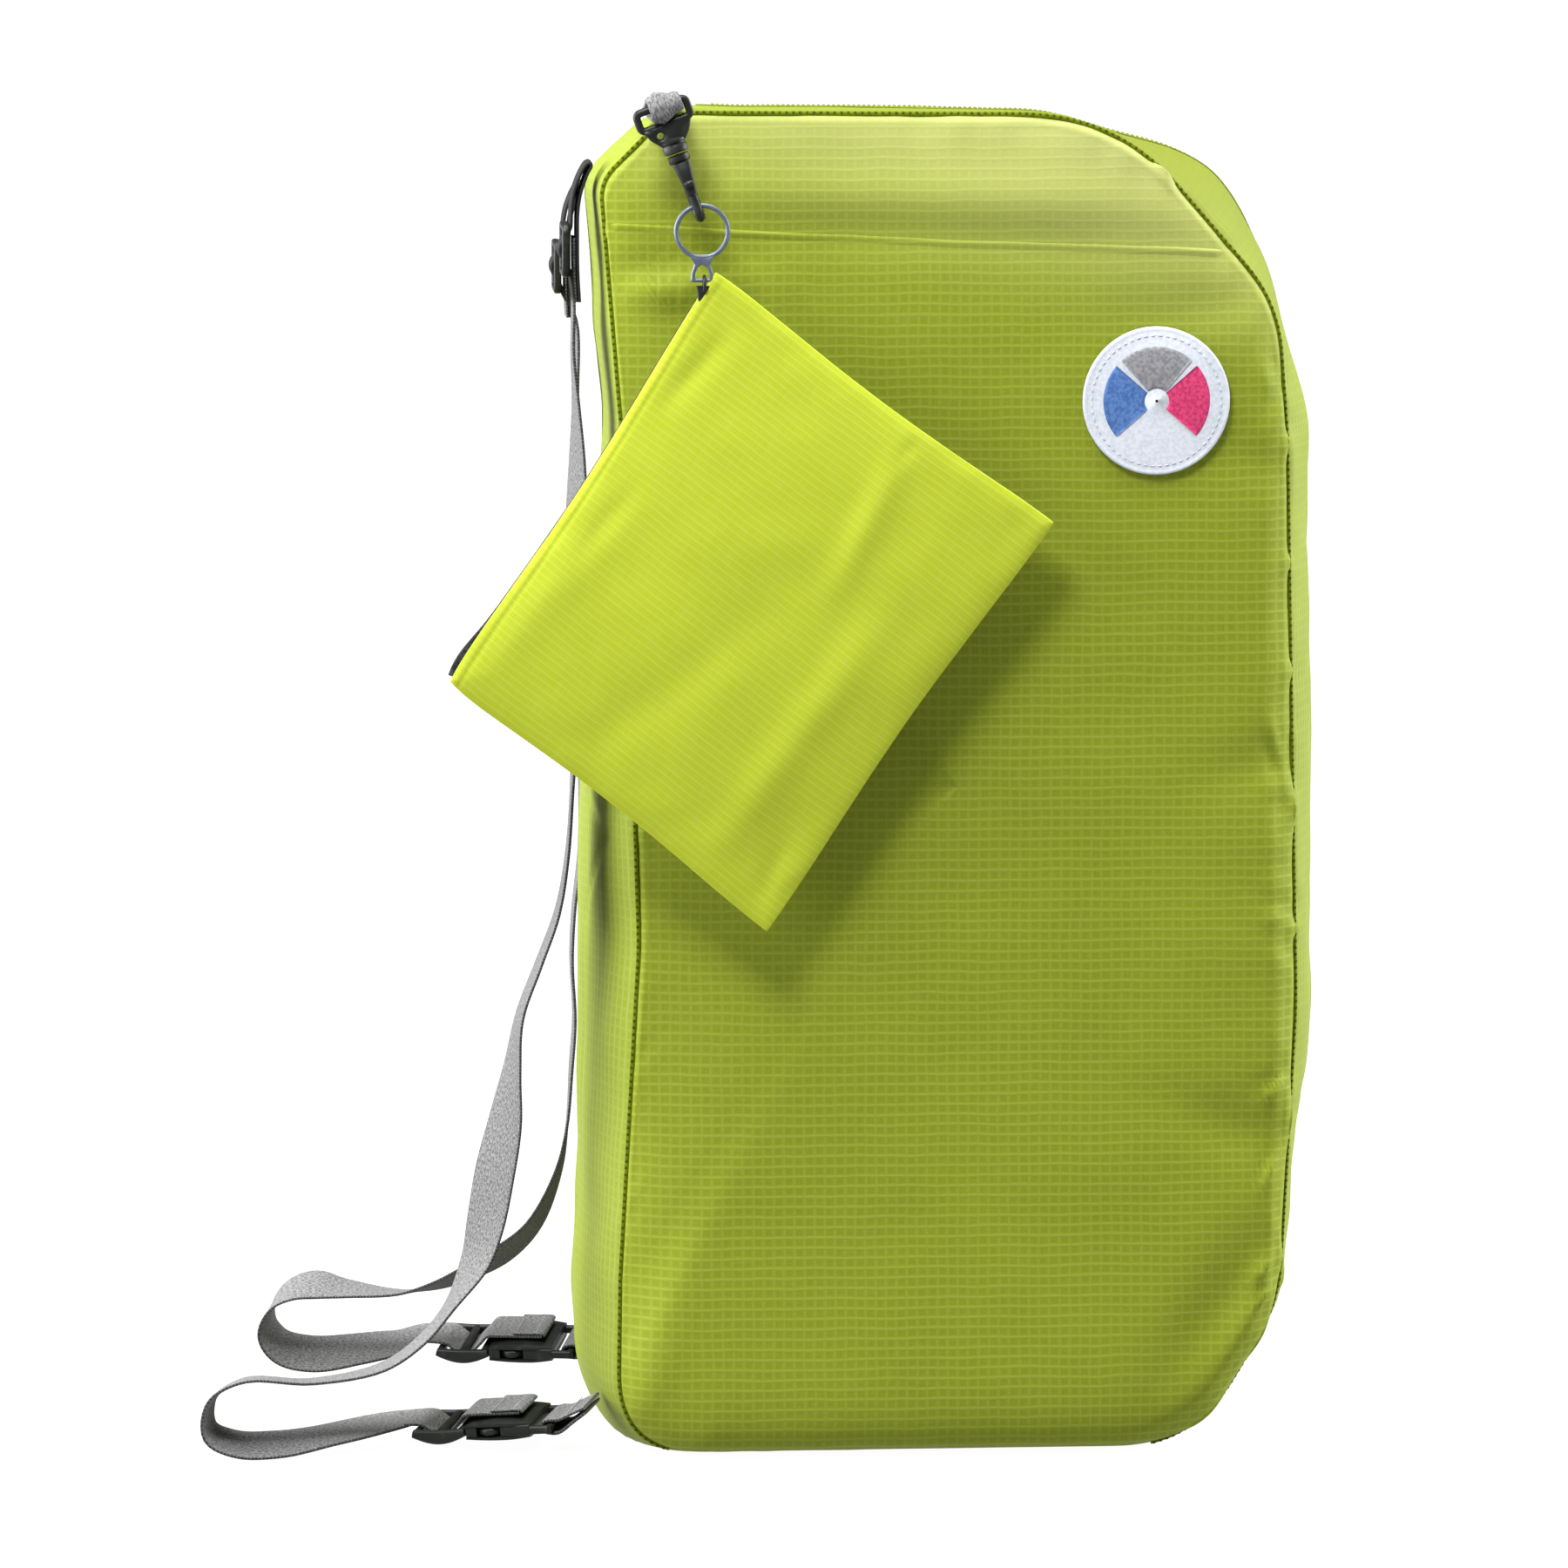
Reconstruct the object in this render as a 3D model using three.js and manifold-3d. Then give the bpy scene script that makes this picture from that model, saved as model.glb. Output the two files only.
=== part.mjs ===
// Convertible backpack of lime ripstop: a soft hollow bag with two webbing shoulder straps on its narrow
// side, and a small zipped pouch that hangs from a swivel snap hook.
// Millimetres, +Z up. X runs across the wide face, Y from the front face to the back, and the origin is the
// middle of the flat base.
import * as THREE from "three";
import { mergeVertices } from "three/addons/utils/BufferGeometryUtils.js";
import Module from "manifold-3d";

const wasm = await Module();
wasm.setup();

// Driving dimensions
const BAG_DEPTH = 130; // front seam to back seam
const HALF_DEPTH = BAG_DEPTH / 2;
const WALL = 1.5; // ripstop wall
const GAP = 0.35; // play between pieces that touch
const CROWN = 8; // how far a wide panel stands proud of its seam
const SETTLE = 8; // extra crown at the foot, where the load settles
const SETTLE_HEIGHT = 75;
const BACK_DROP = 0.012; // share of its height that the bag loses towards the back seam
const PANEL_CENTRE = { x: 0, z: 225 };

const WEB_WIDTH = 20;
const WEB_THICK = 1.2;

const BADGE = { x: 64.6, z: 352.5, radius: 24.3, thick: 1.6 };

const HOOK = { x: -93.3, y: -90, z: 434.6, tilt: THREE.MathUtils.degToRad(-20) };
const HOOK_WIRE = 3.6;
const HOOK_BEND = 4.5; // radius of the J at the middle of its wire
const HOOK_DROP = 17.5; // barrel to the centre of the bend

const RING = { x: -85.3, z: 409.4, radius: 8.4, wire: 1.6 };
const POUCH_WALL = 1.0;
const POUCH_EDGE = 1.3; // half thickness at the sewn edges
const POUCH_PUFF = 3.6; // extra half thickness in the middle
const POUCH_PULL = 2.5; // how far an edge pulls in between its corners

// The seam round the front panel, counter-clockwise seen from the front. Each row gives a corner, its
// rounding, how far the narrow side bulges outside the seam there, and the distance in which the panel rises.
const SEAM = [
  { at: "rest_left", x: -84, z: 0, radius: 0, bulge: 0, rise: 9 },
  { at: "rest_right", x: 52, z: 0, radius: 0, bulge: 0, rise: 9 },
  { at: "base_right", x: 80, z: 0, radius: 45, bulge: 4, rise: 9 },
  { at: "right_low", x: 109, z: 48, radius: 60, bulge: 10, rise: 10 },
  { at: "right_belly", x: 114, z: 150, radius: 200, bulge: 12, rise: 9 },
  { at: "right_high", x: 109.5, z: 340, radius: 200, bulge: 14, rise: 12 },
  { at: "shoulder_right", x: 106, z: 384, radius: 50, bulge: 12, rise: 16 },
  { at: "crest_right", x: 52, z: 446, radius: 70, bulge: 0.5, rise: 26 },
  { at: "crest_left", x: -95, z: 447, radius: 24, bulge: 1.5, rise: 22 },
  { at: "shoulder_left", x: -117.5, z: 424.5, radius: 14, bulge: 2, rise: 16 },
  { at: "left_high", x: -111, z: 345, radius: 150, bulge: 4, rise: 14 },
  { at: "left_waist", x: -105.5, z: 172, radius: 150, bulge: 17, rise: 14 },
  { at: "left_low", x: -112, z: 60, radius: 100, bulge: 13, rise: 12 },
  { at: "base_left", x: -113, z: 0, radius: 28, bulge: 11, rise: 10 },
];

// Folds and dents of the front panel: middle, direction from +X, half length, half width, height outwards.
const PANEL_FOLDS = [
  { at: "hollow_over_crease", x: -5, z: 417, turn: -2.6, long: 95, wide: 9, high: -1.6 },
  { at: "left_shoulder_tuck", x: -92, z: 391, turn: 6, long: 26, wide: 8, high: 1.8 },
  { at: "right_shoulder_tuck", x: 86, z: 384, turn: 8, long: 28, wide: 8, high: -1.8 },
  { at: "right_upper_pull", x: 104, z: 330, turn: -15, long: 20, wide: 9, high: -2 },
  { at: "right_belly_pull", x: 104, z: 232, turn: 12, long: 22, wide: 10, high: -2 },
  { at: "right_knee", x: 98, z: 108, turn: -20, long: 30, wide: 10, high: -3 },
  { at: "right_foot", x: 90, z: 52, turn: 55, long: 34, wide: 10, high: -4 },
];

// Dents in the outline of the narrow side: middle, reach and depth. A negative depth is a bulge.
const GUSSET_DENTS = [
  { at: "beside_strap", x: -111, z: 350, reach: 20, deep: 2 },
  { at: "knee", x: 112, z: 92, reach: 16, deep: 4 },
  { at: "calf", x: 111, z: 62, reach: 14, deep: 3.5 },
  { at: "foot", x: 99, z: 32, reach: 12, deep: 3 },
  { at: "under_shoulder", x: 108, z: 377, reach: 22, deep: 6 },
  { at: "shoulder_puff", x: 80, z: 418, reach: 24, deep: -10 },
  { at: "beside_slider", x: -114, z: 395, reach: 24, deep: 1.5 },
];

// Pouch corners in the plane that it hangs in; the zip runs from left to top.
const POUCH_CORNERS = {
  left: { x: -169.6, z: 262.8 },
  top: { x: -78.5, z: 395.5 },
  right: { x: 30.1, z: 314.2 },
  bottom: { x: -64.3, z: 179.3 },
};

// Straps below the slider: place, and turn of the far edge outwards, in degrees.
const NEAR_ROUTE = [
  { x: -125.4, y: -42, z: 384, turn: 0 },
  { x: -125.6, y: -42, z: 367, turn: 0 },
  { x: -124.6, y: -42, z: 350, turn: 4 },
  { x: -124.2, y: -42, z: 332, turn: 12 },
  { x: -124.4, y: -42, z: 312, turn: 18 },
  { x: -124.6, y: -42, z: 280, turn: 18 },
  { x: -125.2, y: -42, z: 250, turn: 8 },
  { x: -126.2, y: -42, z: 224, turn: 0 },
  { x: -128, y: -42, z: 199, turn: 0 },
  { x: -131.3, y: -42, z: 180, turn: 1 },
  { x: -137.5, y: -42, z: 162.7, turn: 2 },
  { x: -144, y: -42, z: 145, turn: 4 },
  { x: -146.6, y: -42, z: 127, turn: 14 },
  { x: -149, y: -42, z: 109.5, turn: 30 },
  { x: -152.7, y: -43, z: 92, turn: 38 },
  { x: -156.1, y: -44, z: 74.3, turn: 35 },
  { x: -159.5, y: -45, z: 62, turn: 24 },
  { x: -167.5, y: -48, z: 48.4, turn: 4 },
  { x: -177.9, y: -51, z: 36.4, turn: 0 },
  { x: -191, y: -53, z: 28, turn: -3 },
  { x: -214.5, y: -56, z: 24.1, turn: -7 },
  { x: -237, y: -59, z: 25.4, turn: -8 },
  { x: -247.7, y: -60.5, z: 19.4, turn: -10 },
  { x: -248.6, y: -61, z: 8.8, turn: -12 },
  { x: -240, y: -60, z: 4.1, turn: -14 },
  { x: -226, y: -58, z: 3.4, turn: -14 },
  { x: -208, y: -52, z: 5.2, turn: -8 },
];
const FAR_ROUTE = [
  { x: -121.6, y: 42, z: 372, turn: 0 },
  { x: -121.2, y: 42, z: 345, turn: 0 },
  { x: -121, y: 42, z: 300, turn: 0 },
  { x: -121, y: 42, z: 250, turn: 0 },
  { x: -120.4, y: 43, z: 212, turn: 0 },
  { x: -120.6, y: 45, z: 188, turn: 0 },
  { x: -122.8, y: 45, z: 167, turn: 0 },
  { x: -123.6, y: 45, z: 150, turn: 0 },
  { x: -122.7, y: 45, z: 130, turn: 0 },
  { x: -123.9, y: 45, z: 112, turn: 0 },
  { x: -125.4, y: 45, z: 92, turn: -3 },
  { x: -128.7, y: 45, z: 75.4, turn: -11 },
  { x: -137.1, y: 45, z: 57, turn: -22 },
  { x: -147.3, y: 45, z: 47.3, turn: -29 },
  { x: -159.5, y: 45, z: 40.6, turn: -26 },
  { x: -171.7, y: 45, z: 35.8, turn: -18 },
  { x: -183.8, y: 46, z: 33.5, turn: -7 },
  { x: -202, y: 47, z: 34.9, turn: 7 },
  { x: -212, y: 47, z: 36.4, turn: 17 },
  { x: -221, y: 47, z: 34.8, turn: 10 },
  { x: -227.6, y: 47, z: 29.6, turn: -4 },
  { x: -229.6, y: 47, z: 21, turn: -20 },
  { x: -225, y: 47.5, z: 14.6, turn: -26 },
  { x: -214.3, y: 48, z: 11.8, turn: -27 },
  { x: -199, y: 51, z: 12.6, turn: -21 },
  { x: -184, y: 56, z: 14.2, turn: -13 },
];

// Webbing through the slider, along its length and outwards from its middle: the hemmed tail behind it, the
// turn where both layers are sewn to the bag, and the run over the middle bar.
const SLIDER_THREAD = [
  { along: -17, out: -4.6 },
  { along: -8, out: -4.1 },
  { along: 4, out: -4.0 },
  { along: 13, out: -4.2 },
  { along: 19, out: -5.2 },
  { along: 25, out: -7.3 },
  { along: 27.6, out: -8.6 },
  { along: 28.6, out: -8.3 },
  { along: 28.3, out: -7.2 },
  { along: 26, out: -5.6 },
  { along: 20.5, out: -3.3 },
  { along: 14.5, out: -2.2 },
  { along: 9, out: -1.95 },
  { along: 7.4, out: -1.75 },
  { along: 4.25, out: 0 },
  { along: 1.2, out: 1.7 },
  { along: -1.2, out: 1.7 },
  { along: -4.25, out: 0 },
  { along: -7.4, out: -1.75 },
  { along: -9, out: -1.95 },
];
// Webbing through the ladder lock, along the buckle from its outer end and up from its middle, to the tail.
const LADDER_THREAD = [
  { along: -7, up: 2.1 },
  { along: 1, up: 2.25 },
  { along: 3, up: 1.75 },
  { along: 5.2, up: 0 },
  { along: 7.4, up: -1.75 },
  { along: 9.2, up: -2.25 },
  { along: 11, up: -1.75 },
  { along: 13, up: 0.2 },
  { along: 15.2, up: 2.4 },
  { along: 17.6, up: 4.8 },
  { along: 21, up: 5.1 },
  { along: 29, up: 5.1 },
  { along: 37, up: 5.2 },
];
// Half of the tab's loop round the catch's end bar; the other half mirrors it.
const TAB_LOOP = [
  { along: 50, up: 2.2 },
  { along: 46.8, up: 2.25 },
  { along: 44.9, up: 1.6 },
];
const TAB_TURN = { along: 43.9, up: 0 };

const TAB_SPLIT = 0.95; // half the distance between the tab's two layers where it meets the bag

// Buckles: outer end, then in degrees the swing towards the front, the rise towards the bag and the roll of
// the far edge upwards, and where the tab meets the bag.
const BUCKLES = {
  near: { x: -177, y: -38, z: 5.3, swing: 18, rise: 5, roll: 4, tab: { along: 59.5, up: 5 } },
  far: { x: -168, y: 58, z: 14.2, swing: 14, rise: 1, roll: 9, tab: { along: 52, up: 0.6 } },
};
const SLIDERS = {
  near: { x: -128.2, y: -42, z: 401 },
  far: { x: -128, y: 42, z: 390 },
};

// Materials
const finish = (color, roughness, metalness = 0) =>
  new THREE.MeshStandardMaterial({ color, roughness, metalness });
const RIPSTOP = 0x9ba83a;
const POUCH_LIME = 0xb4c23c;
const WEBBING = 0xa2a2a1;
const ACETAL = 0x242622;
const PULL_METAL = 0x6e788c;
const BADGE_CLOTH = 0xcacfd7;

// A closed mesh from points and triangles: equal points merged, empty triangles dropped, faces outwards.
function closedGeometry(points, faces) {
  const flat = new Float32Array(points.length * 3);
  points.forEach((p, i) => flat.set([p.x, p.y, p.z], i * 3));
  const rough = new THREE.BufferGeometry();
  rough.setAttribute("position", new THREE.BufferAttribute(flat, 3));
  rough.setIndex(faces.flat());
  const merged = mergeVertices(rough, 1e-3);
  const index = merged.index.array;
  const kept = [];
  for (let i = 0; i < index.length; i += 3) {
    const [a, b, c] = [index[i], index[i + 1], index[i + 2]];
    if (a !== b && b !== c && c !== a) kept.push([a, b, c]);
  }
  const spot = merged.attributes.position;
  const at = (i) => new THREE.Vector3().fromBufferAttribute(spot, i);
  const volume = kept.reduce((sum, [a, b, c]) => sum + at(a).dot(at(b).cross(at(c))), 0);
  merged.setIndex(kept.flatMap(([a, b, c]) => (volume > 0 ? [a, b, c] : [a, c, b])));
  return merged;
}

// A thin wall between two grids of points; the first direction may close on itself.
function wallBetween(outer, inner, closed) {
  const rows = outer.length;
  const columns = outer[0].length;
  const points = [...outer.flat(), ...inner.flat()];
  const offset = rows * columns;
  const faces = [];
  const quad = (a, b, c, d) => faces.push([a, b, c], [a, c, d]);
  const last = closed ? rows : rows - 1;
  for (let i = 0; i < last; i++) {
    const next = (i + 1) % rows;
    for (let j = 0; j < columns - 1; j++) {
      const [a, b] = [i * columns + j, next * columns + j];
      quad(a, b, b + 1, a + 1);
      quad(offset + a, offset + a + 1, offset + b + 1, offset + b);
    }
    for (const j of [0, columns - 1]) {
      const [a, b] = [i * columns + j, next * columns + j];
      if (j === 0) quad(a, offset + a, offset + b, b);
      else quad(a, b, offset + b, offset + a);
    }
  }
  if (!closed)
    for (const i of [0, rows - 1])
      for (let j = 0; j < columns - 1; j++) {
        const a = i * columns + j;
        if (i === 0) quad(a, a + 1, offset + a + 1, offset + a);
        else quad(a, offset + a, offset + a + 1, a + 1);
      }
  return closedGeometry(points, faces);
}

// A section of points carried along stations { p, across, face }: each section point is [across, face].
function sweep(stations, section) {
  const sides = section.length;
  const points = [];
  for (const s of stations)
    for (const [a, f] of section)
      points.push(s.p.clone().addScaledVector(s.across, a).addScaledVector(s.face, f));
  const faces = [];
  for (let i = 0; i < stations.length - 1; i++)
    for (let k = 0; k < sides; k++) {
      const [a, b] = [i * sides + k, i * sides + ((k + 1) % sides)];
      faces.push([a, b, b + sides], [a, b + sides, a + sides]);
    }
  const end = (stations.length - 1) * sides;
  for (let k = 1; k < sides - 1; k++) faces.push([0, k + 1, k], [end, end + k, end + k + 1]);
  return closedGeometry(points, faces);
}

// Stations along a smooth curve; across lies along a row's own direction, or the given one, turned about the
// path.
function stationsAlong(route, steps, acrossAt) {
  const curve = new THREE.CatmullRomCurve3(route.map((r) => r.p));
  const count = (route.length - 1) * steps;
  return Array.from({ length: count + 1 }, (_, i) => {
    const t = i / count;
    const place = t * (route.length - 1);
    const k = Math.min(Math.floor(place), route.length - 2);
    const [here, next] = [route[k], route[k + 1]];
    const turn = THREE.MathUtils.lerp(here.turn ?? 0, next.turn ?? 0, place - k);
    const wide = (here.across ?? acrossAt).clone().lerp(next.across ?? acrossAt, place - k);
    const along = curve.getTangent(t);
    const across = wide.addScaledVector(along, -wide.dot(along)).normalize();
    across.applyAxisAngle(along, -THREE.MathUtils.degToRad(turn));
    return { p: curve.getPoint(t), across, face: along.clone().cross(across) };
  });
}

const SIDEWAYS = new THREE.Vector3(0, 1, 0);
const LEVEL = new THREE.Vector3(1, 0, 0);
const flatSection = (width, thick) => [
  [-width / 2, -thick / 2],
  [width / 2, -thick / 2],
  [width / 2, thick / 2],
  [-width / 2, thick / 2],
];
const roundSection = (radius, sides) =>
  Array.from({ length: sides }, (_, k) => {
    const angle = (2 * Math.PI * k) / sides;
    return [radius * Math.cos(angle), radius * Math.sin(angle)];
  });

// Boolean cuts and joins
function solidOf(geometry) {
  const bare = geometry.index ? geometry.toNonIndexed() : geometry.clone();
  bare.deleteAttribute("normal");
  bare.deleteAttribute("uv");
  const merged = mergeVertices(bare, 1e-4);
  return new wasm.Manifold(
    new wasm.Mesh({
      numProp: 3,
      vertProperties: merged.attributes.position.array,
      triVerts: new Uint32Array(merged.index.array),
    }),
  );
}
function geometryOf(solid) {
  const mesh = solid.getMesh();
  const geometry = new THREE.BufferGeometry();
  geometry.setAttribute("position", new THREE.BufferAttribute(mesh.vertProperties, 3));
  geometry.setIndex(new THREE.BufferAttribute(mesh.triVerts, 1));
  return geometry;
}
const joined = (...geometries) => geometryOf(geometries.map(solidOf).reduce((a, b) => a.add(b)));
const cut = (body, ...tools) =>
  geometryOf(tools.map(solidOf).reduce((a, b) => a.subtract(b), solidOf(body)));
const box = (x0, x1, y0, y1, z0, z1) =>
  new THREE.BoxGeometry(x1 - x0, y1 - y0, z1 - z0).translate((x0 + x1) / 2, (y0 + y1) / 2, (z0 + z1) / 2);

// A plate of an outline in X and Y, centred on Z.
function plate(shape, thick, bevel = 0) {
  const geometry = new THREE.ExtrudeGeometry(shape, {
    depth: thick - 2 * bevel,
    bevelEnabled: bevel > 0,
    bevelSize: bevel,
    bevelOffset: -bevel,
    bevelThickness: bevel,
    bevelSegments: 1,
    curveSegments: 2,
  });
  return geometry.translate(0, 0, bevel - thick / 2);
}
function roundedRectangle(x0, x1, y0, y1, radius, Kind = THREE.Shape) {
  const shape = new Kind();
  shape.moveTo(x0 + radius, y0);
  shape.lineTo(x1 - radius, y0);
  shape.absarc(x1 - radius, y0 + radius, radius, -Math.PI / 2, 0);
  shape.lineTo(x1, y1 - radius);
  shape.absarc(x1 - radius, y1 - radius, radius, 0, Math.PI / 2);
  shape.lineTo(x0 + radius, y1);
  shape.absarc(x0 + radius, y1 - radius, radius, Math.PI / 2, Math.PI);
  shape.lineTo(x0, y0 + radius);
  shape.absarc(x0 + radius, y0 + radius, radius, Math.PI, 1.5 * Math.PI);
  return shape;
}

// A plate with slots cut across it, each from one place along X to another.
const slotted = (body, slots, wide) =>
  cut(body, ...slots.map(([from, to]) => box(from, to, -wide / 2, wide / 2, -5, 5)));

// The seam as a dense closed run of points, straight stretches joined by arcs, each with its bulge and rise.
function seamRun(stepLength) {
  const run = [];
  const corner = SEAM.map((row) => new THREE.Vector2(row.x, row.z));
  const n = corner.length;
  const fillets = SEAM.map((row, i) => {
    const here = corner[i];
    const inward = corner[(i + n - 1) % n].clone().sub(here).normalize();
    const onward = corner[(i + 1) % n].clone().sub(here).normalize();
    const turn = Math.PI - Math.acos(THREE.MathUtils.clamp(inward.dot(onward), -1, 1));
    const reach = row.radius * Math.tan(turn / 2);
    return {
      start: here.clone().addScaledVector(inward, reach),
      end: here.clone().addScaledVector(onward, reach),
    };
  });
  fillets.forEach((fillet, i) => {
    const curve = new THREE.QuadraticBezierCurve(fillet.start, corner[i], fillet.end);
    const arcSteps = Math.max(1, Math.ceil(curve.getLength() / stepLength));
    for (let k = 0; k <= arcSteps; k++)
      run.push({ p: curve.getPoint(k / arcSteps), row: i, share: 0.5 });
    const next = fillets[(i + 1) % n];
    const steps = Math.max(1, Math.ceil(fillet.end.distanceTo(next.start) / stepLength));
    for (let k = 1; k < steps; k++)
      run.push({ p: fillet.end.clone().lerp(next.start, k / steps), row: i, share: 0.5 + k / steps });
  });
  return run;
}

// Even stations round the seam, with outward normals and the rows' values eased between corners.
function evenStations(count) {
  const run = seamRun(2).filter((s, i, all) => i === 0 || s.p.distanceTo(all[i - 1].p) > 1e-3);
  const lengths = [0];
  run.forEach((s, i) => lengths.push(lengths[i] + s.p.distanceTo(run[(i + 1) % run.length].p)));
  const total = lengths[run.length];
  const place = (distance) => {
    const d = ((distance % total) + total) % total;
    let i = 0;
    while (lengths[i + 1] < d) i++;
    const share = (d - lengths[i]) / (lengths[i + 1] - lengths[i] || 1);
    return run[i].p.clone().lerp(run[(i + 1) % run.length].p, share);
  };
  const marks = SEAM.map((row, i) => {
    const own = run.map((s, k) => [s, lengths[k]]).filter(([s]) => s.row === i && s.share === 0.5);
    return (own[0][1] + own[own.length - 1][1]) / 2;
  });
  const eased = (key, distance) => {
    const n = SEAM.length;
    for (let i = 0; i < n; i++) {
      const from = marks[i];
      const to = i + 1 < n ? marks[i + 1] : marks[0] + total;
      const d = distance < marks[0] ? distance + total : distance;
      if (d >= from && d <= to) {
        const t = THREE.MathUtils.smoothstep((d - from) / (to - from), 0, 1);
        return THREE.MathUtils.lerp(SEAM[i][key], SEAM[(i + 1) % n][key], t);
      }
    }
    return SEAM[0][key];
  };
  const stationAt = (distance) => {
    const p = place(distance);
    const along = place(distance + 3).sub(place(distance - 3)).normalize();
    const d = ((distance % total) + total) % total;
    const dent = GUSSET_DENTS.reduce((sum, row) => {
      const away = Math.hypot(p.x - row.x, p.y - row.z) / row.reach;
      return sum + row.deep * Math.exp(-away * away);
    }, 0);
    const bulge = Math.max(eased("bulge", d) - dent, 0);
    return { p, normal: new THREE.Vector2(along.y, -along.x), bulge, rise: eased("rise", d) };
  };
  return {
    total,
    mark: (name) => marks[SEAM.findIndex((row) => row.at === name)],
    at: stationAt,
    list: Array.from({ length: count }, (_, i) => stationAt((i * total) / count)),
  };
}

const PANEL_STATIONS = 96;
const seam = evenStations(PANEL_STATIONS);

const dropAt = (y) => 1 - (BACK_DROP * (y + HALF_DEPTH)) / BAG_DEPTH;

// Outside of the narrow side at a distance round the seam and a share of the depth from -1 to 1, moved in.
function gussetPoint(distance, share, inset) {
  const s = seam.at(distance);
  const y = share * HALF_DEPTH;
  const out = s.bulge * (1 - share * share) - inset;
  const z = (s.p.y + s.normal.y * out) * dropAt(y);
  return new THREE.Vector3(s.p.x + s.normal.x * out, y, Math.max(z, inset));
}

function gussetLength(from, to, rowsEach) {
  const span = (to - from + seam.total) % seam.total;
  const rows = Math.round(span / rowsEach);
  const columns = 6;
  const grid = (inset) =>
    Array.from({ length: rows + 1 }, (_, i) =>
      Array.from({ length: columns + 1 }, (_, j) =>
        gussetPoint(from + (span * i) / rows, (2 * j) / columns - 1, inset),
      ),
    );
  return wallBetween(grid(0), grid(WALL), false);
}

// Height of the panel over its seam plane at a point of its face, a share of the way out to the seam.
function panelHeight(x, z, share, station, folds) {
  const swell = CROWN + SETTLE * Math.exp(-((z / SETTLE_HEIGHT) ** 2));
  const fold = folds.reduce((sum, row) => {
    const turn = THREE.MathUtils.degToRad(row.turn);
    const [dx, dz] = [x - row.x, z - row.z];
    const along = (dx * Math.cos(turn) + dz * Math.sin(turn)) / row.long;
    const over = (dz * Math.cos(turn) - dx * Math.sin(turn)) / row.wide;
    return sum + row.high * Math.exp(-along * along - over * over);
  }, 0);
  const reach = Math.hypot(station.p.x - PANEL_CENTRE.x, station.p.y - PANEL_CENTRE.z) / station.rise;
  const edge = (1 - Math.exp(-(1 - share) * reach)) / (1 - Math.exp(-reach));
  return edge * (swell + fold);
}

const RINGS = [1, 0.965, 0.9, 0.78, 0.55, 0.28, 0];

// A wide panel as rings from the seam to its middle; side is -1 for the front and 1 for the back.
function widePanel(side, folds, every) {
  const stations = seam.list.filter((_, i) => i % every === 0);
  const level = HALF_DEPTH + GAP;
  const drop = dropAt(side * HALF_DEPTH);
  const grid = (lift) =>
    stations.map((s) =>
      RINGS.map((ring) => {
        const x = PANEL_CENTRE.x + (s.p.x - PANEL_CENTRE.x) * ring;
        const z = PANEL_CENTRE.z + (s.p.y - PANEL_CENTRE.z) * ring;
        const height = panelHeight(x, z, ring, s, folds);
        return new THREE.Vector3(x, side * (level + lift + height), z * drop);
      }),
    );
  return wallBetween(grid(WALL), grid(0), true);
}

// Outer face of the front panel at a point, found along the ray from the panel's middle.
function frontFace(x, z) {
  const bearing = Math.atan2(z - PANEL_CENTRE.z, x - PANEL_CENTRE.x);
  const off = (s) => {
    const d = Math.atan2(s.p.y - PANEL_CENTRE.z, s.p.x - PANEL_CENTRE.x) - bearing;
    return Math.abs(Math.atan2(Math.sin(d), Math.cos(d)));
  };
  const nearest = seam.list.reduce((best, s) => (off(s) < off(best) ? s : best));
  const reach = Math.hypot(nearest.p.x - PANEL_CENTRE.x, nearest.p.y - PANEL_CENTRE.z);
  const share = Math.min(Math.hypot(x - PANEL_CENTRE.x, z - PANEL_CENTRE.z) / reach, 1);
  return -(HALF_DEPTH + GAP + WALL + panelHeight(x, z, share, nearest, PANEL_FOLDS));
}

function badgeGeometry() {
  const sides = 24;
  const rings = [1, 0.86, 0.5, 0];
  const lift = 0.8; // clears the facets of the panel under it
  const grid = (back) =>
    Array.from({ length: sides }, (_, i) =>
      rings.map((ring) => {
        const angle = (2 * Math.PI * i) / sides;
        const x = BADGE.x + BADGE.radius * ring * Math.cos(angle);
        const z = BADGE.z + BADGE.radius * ring * Math.sin(angle);
        return new THREE.Vector3(x, frontFace(x, z) - lift - (back ? 0 : BADGE.thick), z);
      }),
    );
  return wallBetween(grid(false), grid(true), true);
}

// The zip closure lies on the middle of the top, between the two shoulders.
const ZIP = { wide: 26, thick: 0.9, clearOfJoin: 8, clearOfHook: 12 };
function mainZip() {
  const from = seam.mark("shoulder_right") + ZIP.clearOfJoin;
  const to = seam.mark("crest_left") - ZIP.clearOfHook;
  const rows = 22;
  const lift = GAP + ZIP.thick; // clears the facets of the top under it
  const route = Array.from({ length: rows + 1 }, (_, i) => ({
    p: gussetPoint(from + ((to - from) * i) / rows, 0, -lift),
  }));
  return sweep(stationsAlong(route, 1, SIDEWAYS), flatSection(ZIP.wide, ZIP.thick));
}

// Buckle halves, along +X from the outer end, +Z up.
const LADDER = { wide: 28, slot: 22, thick: 2.4, bars: [0, 2.4, 8, 10.4, 15.6, 18.4] };
const CATCH = { start: 18.8, shoulder: 40, end: 48.5, thick: 8, slotStart: 41, slotEnd: 46 };
const PRONG = { end: 35.5, wide: 20.4, thick: 2.8 };

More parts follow.
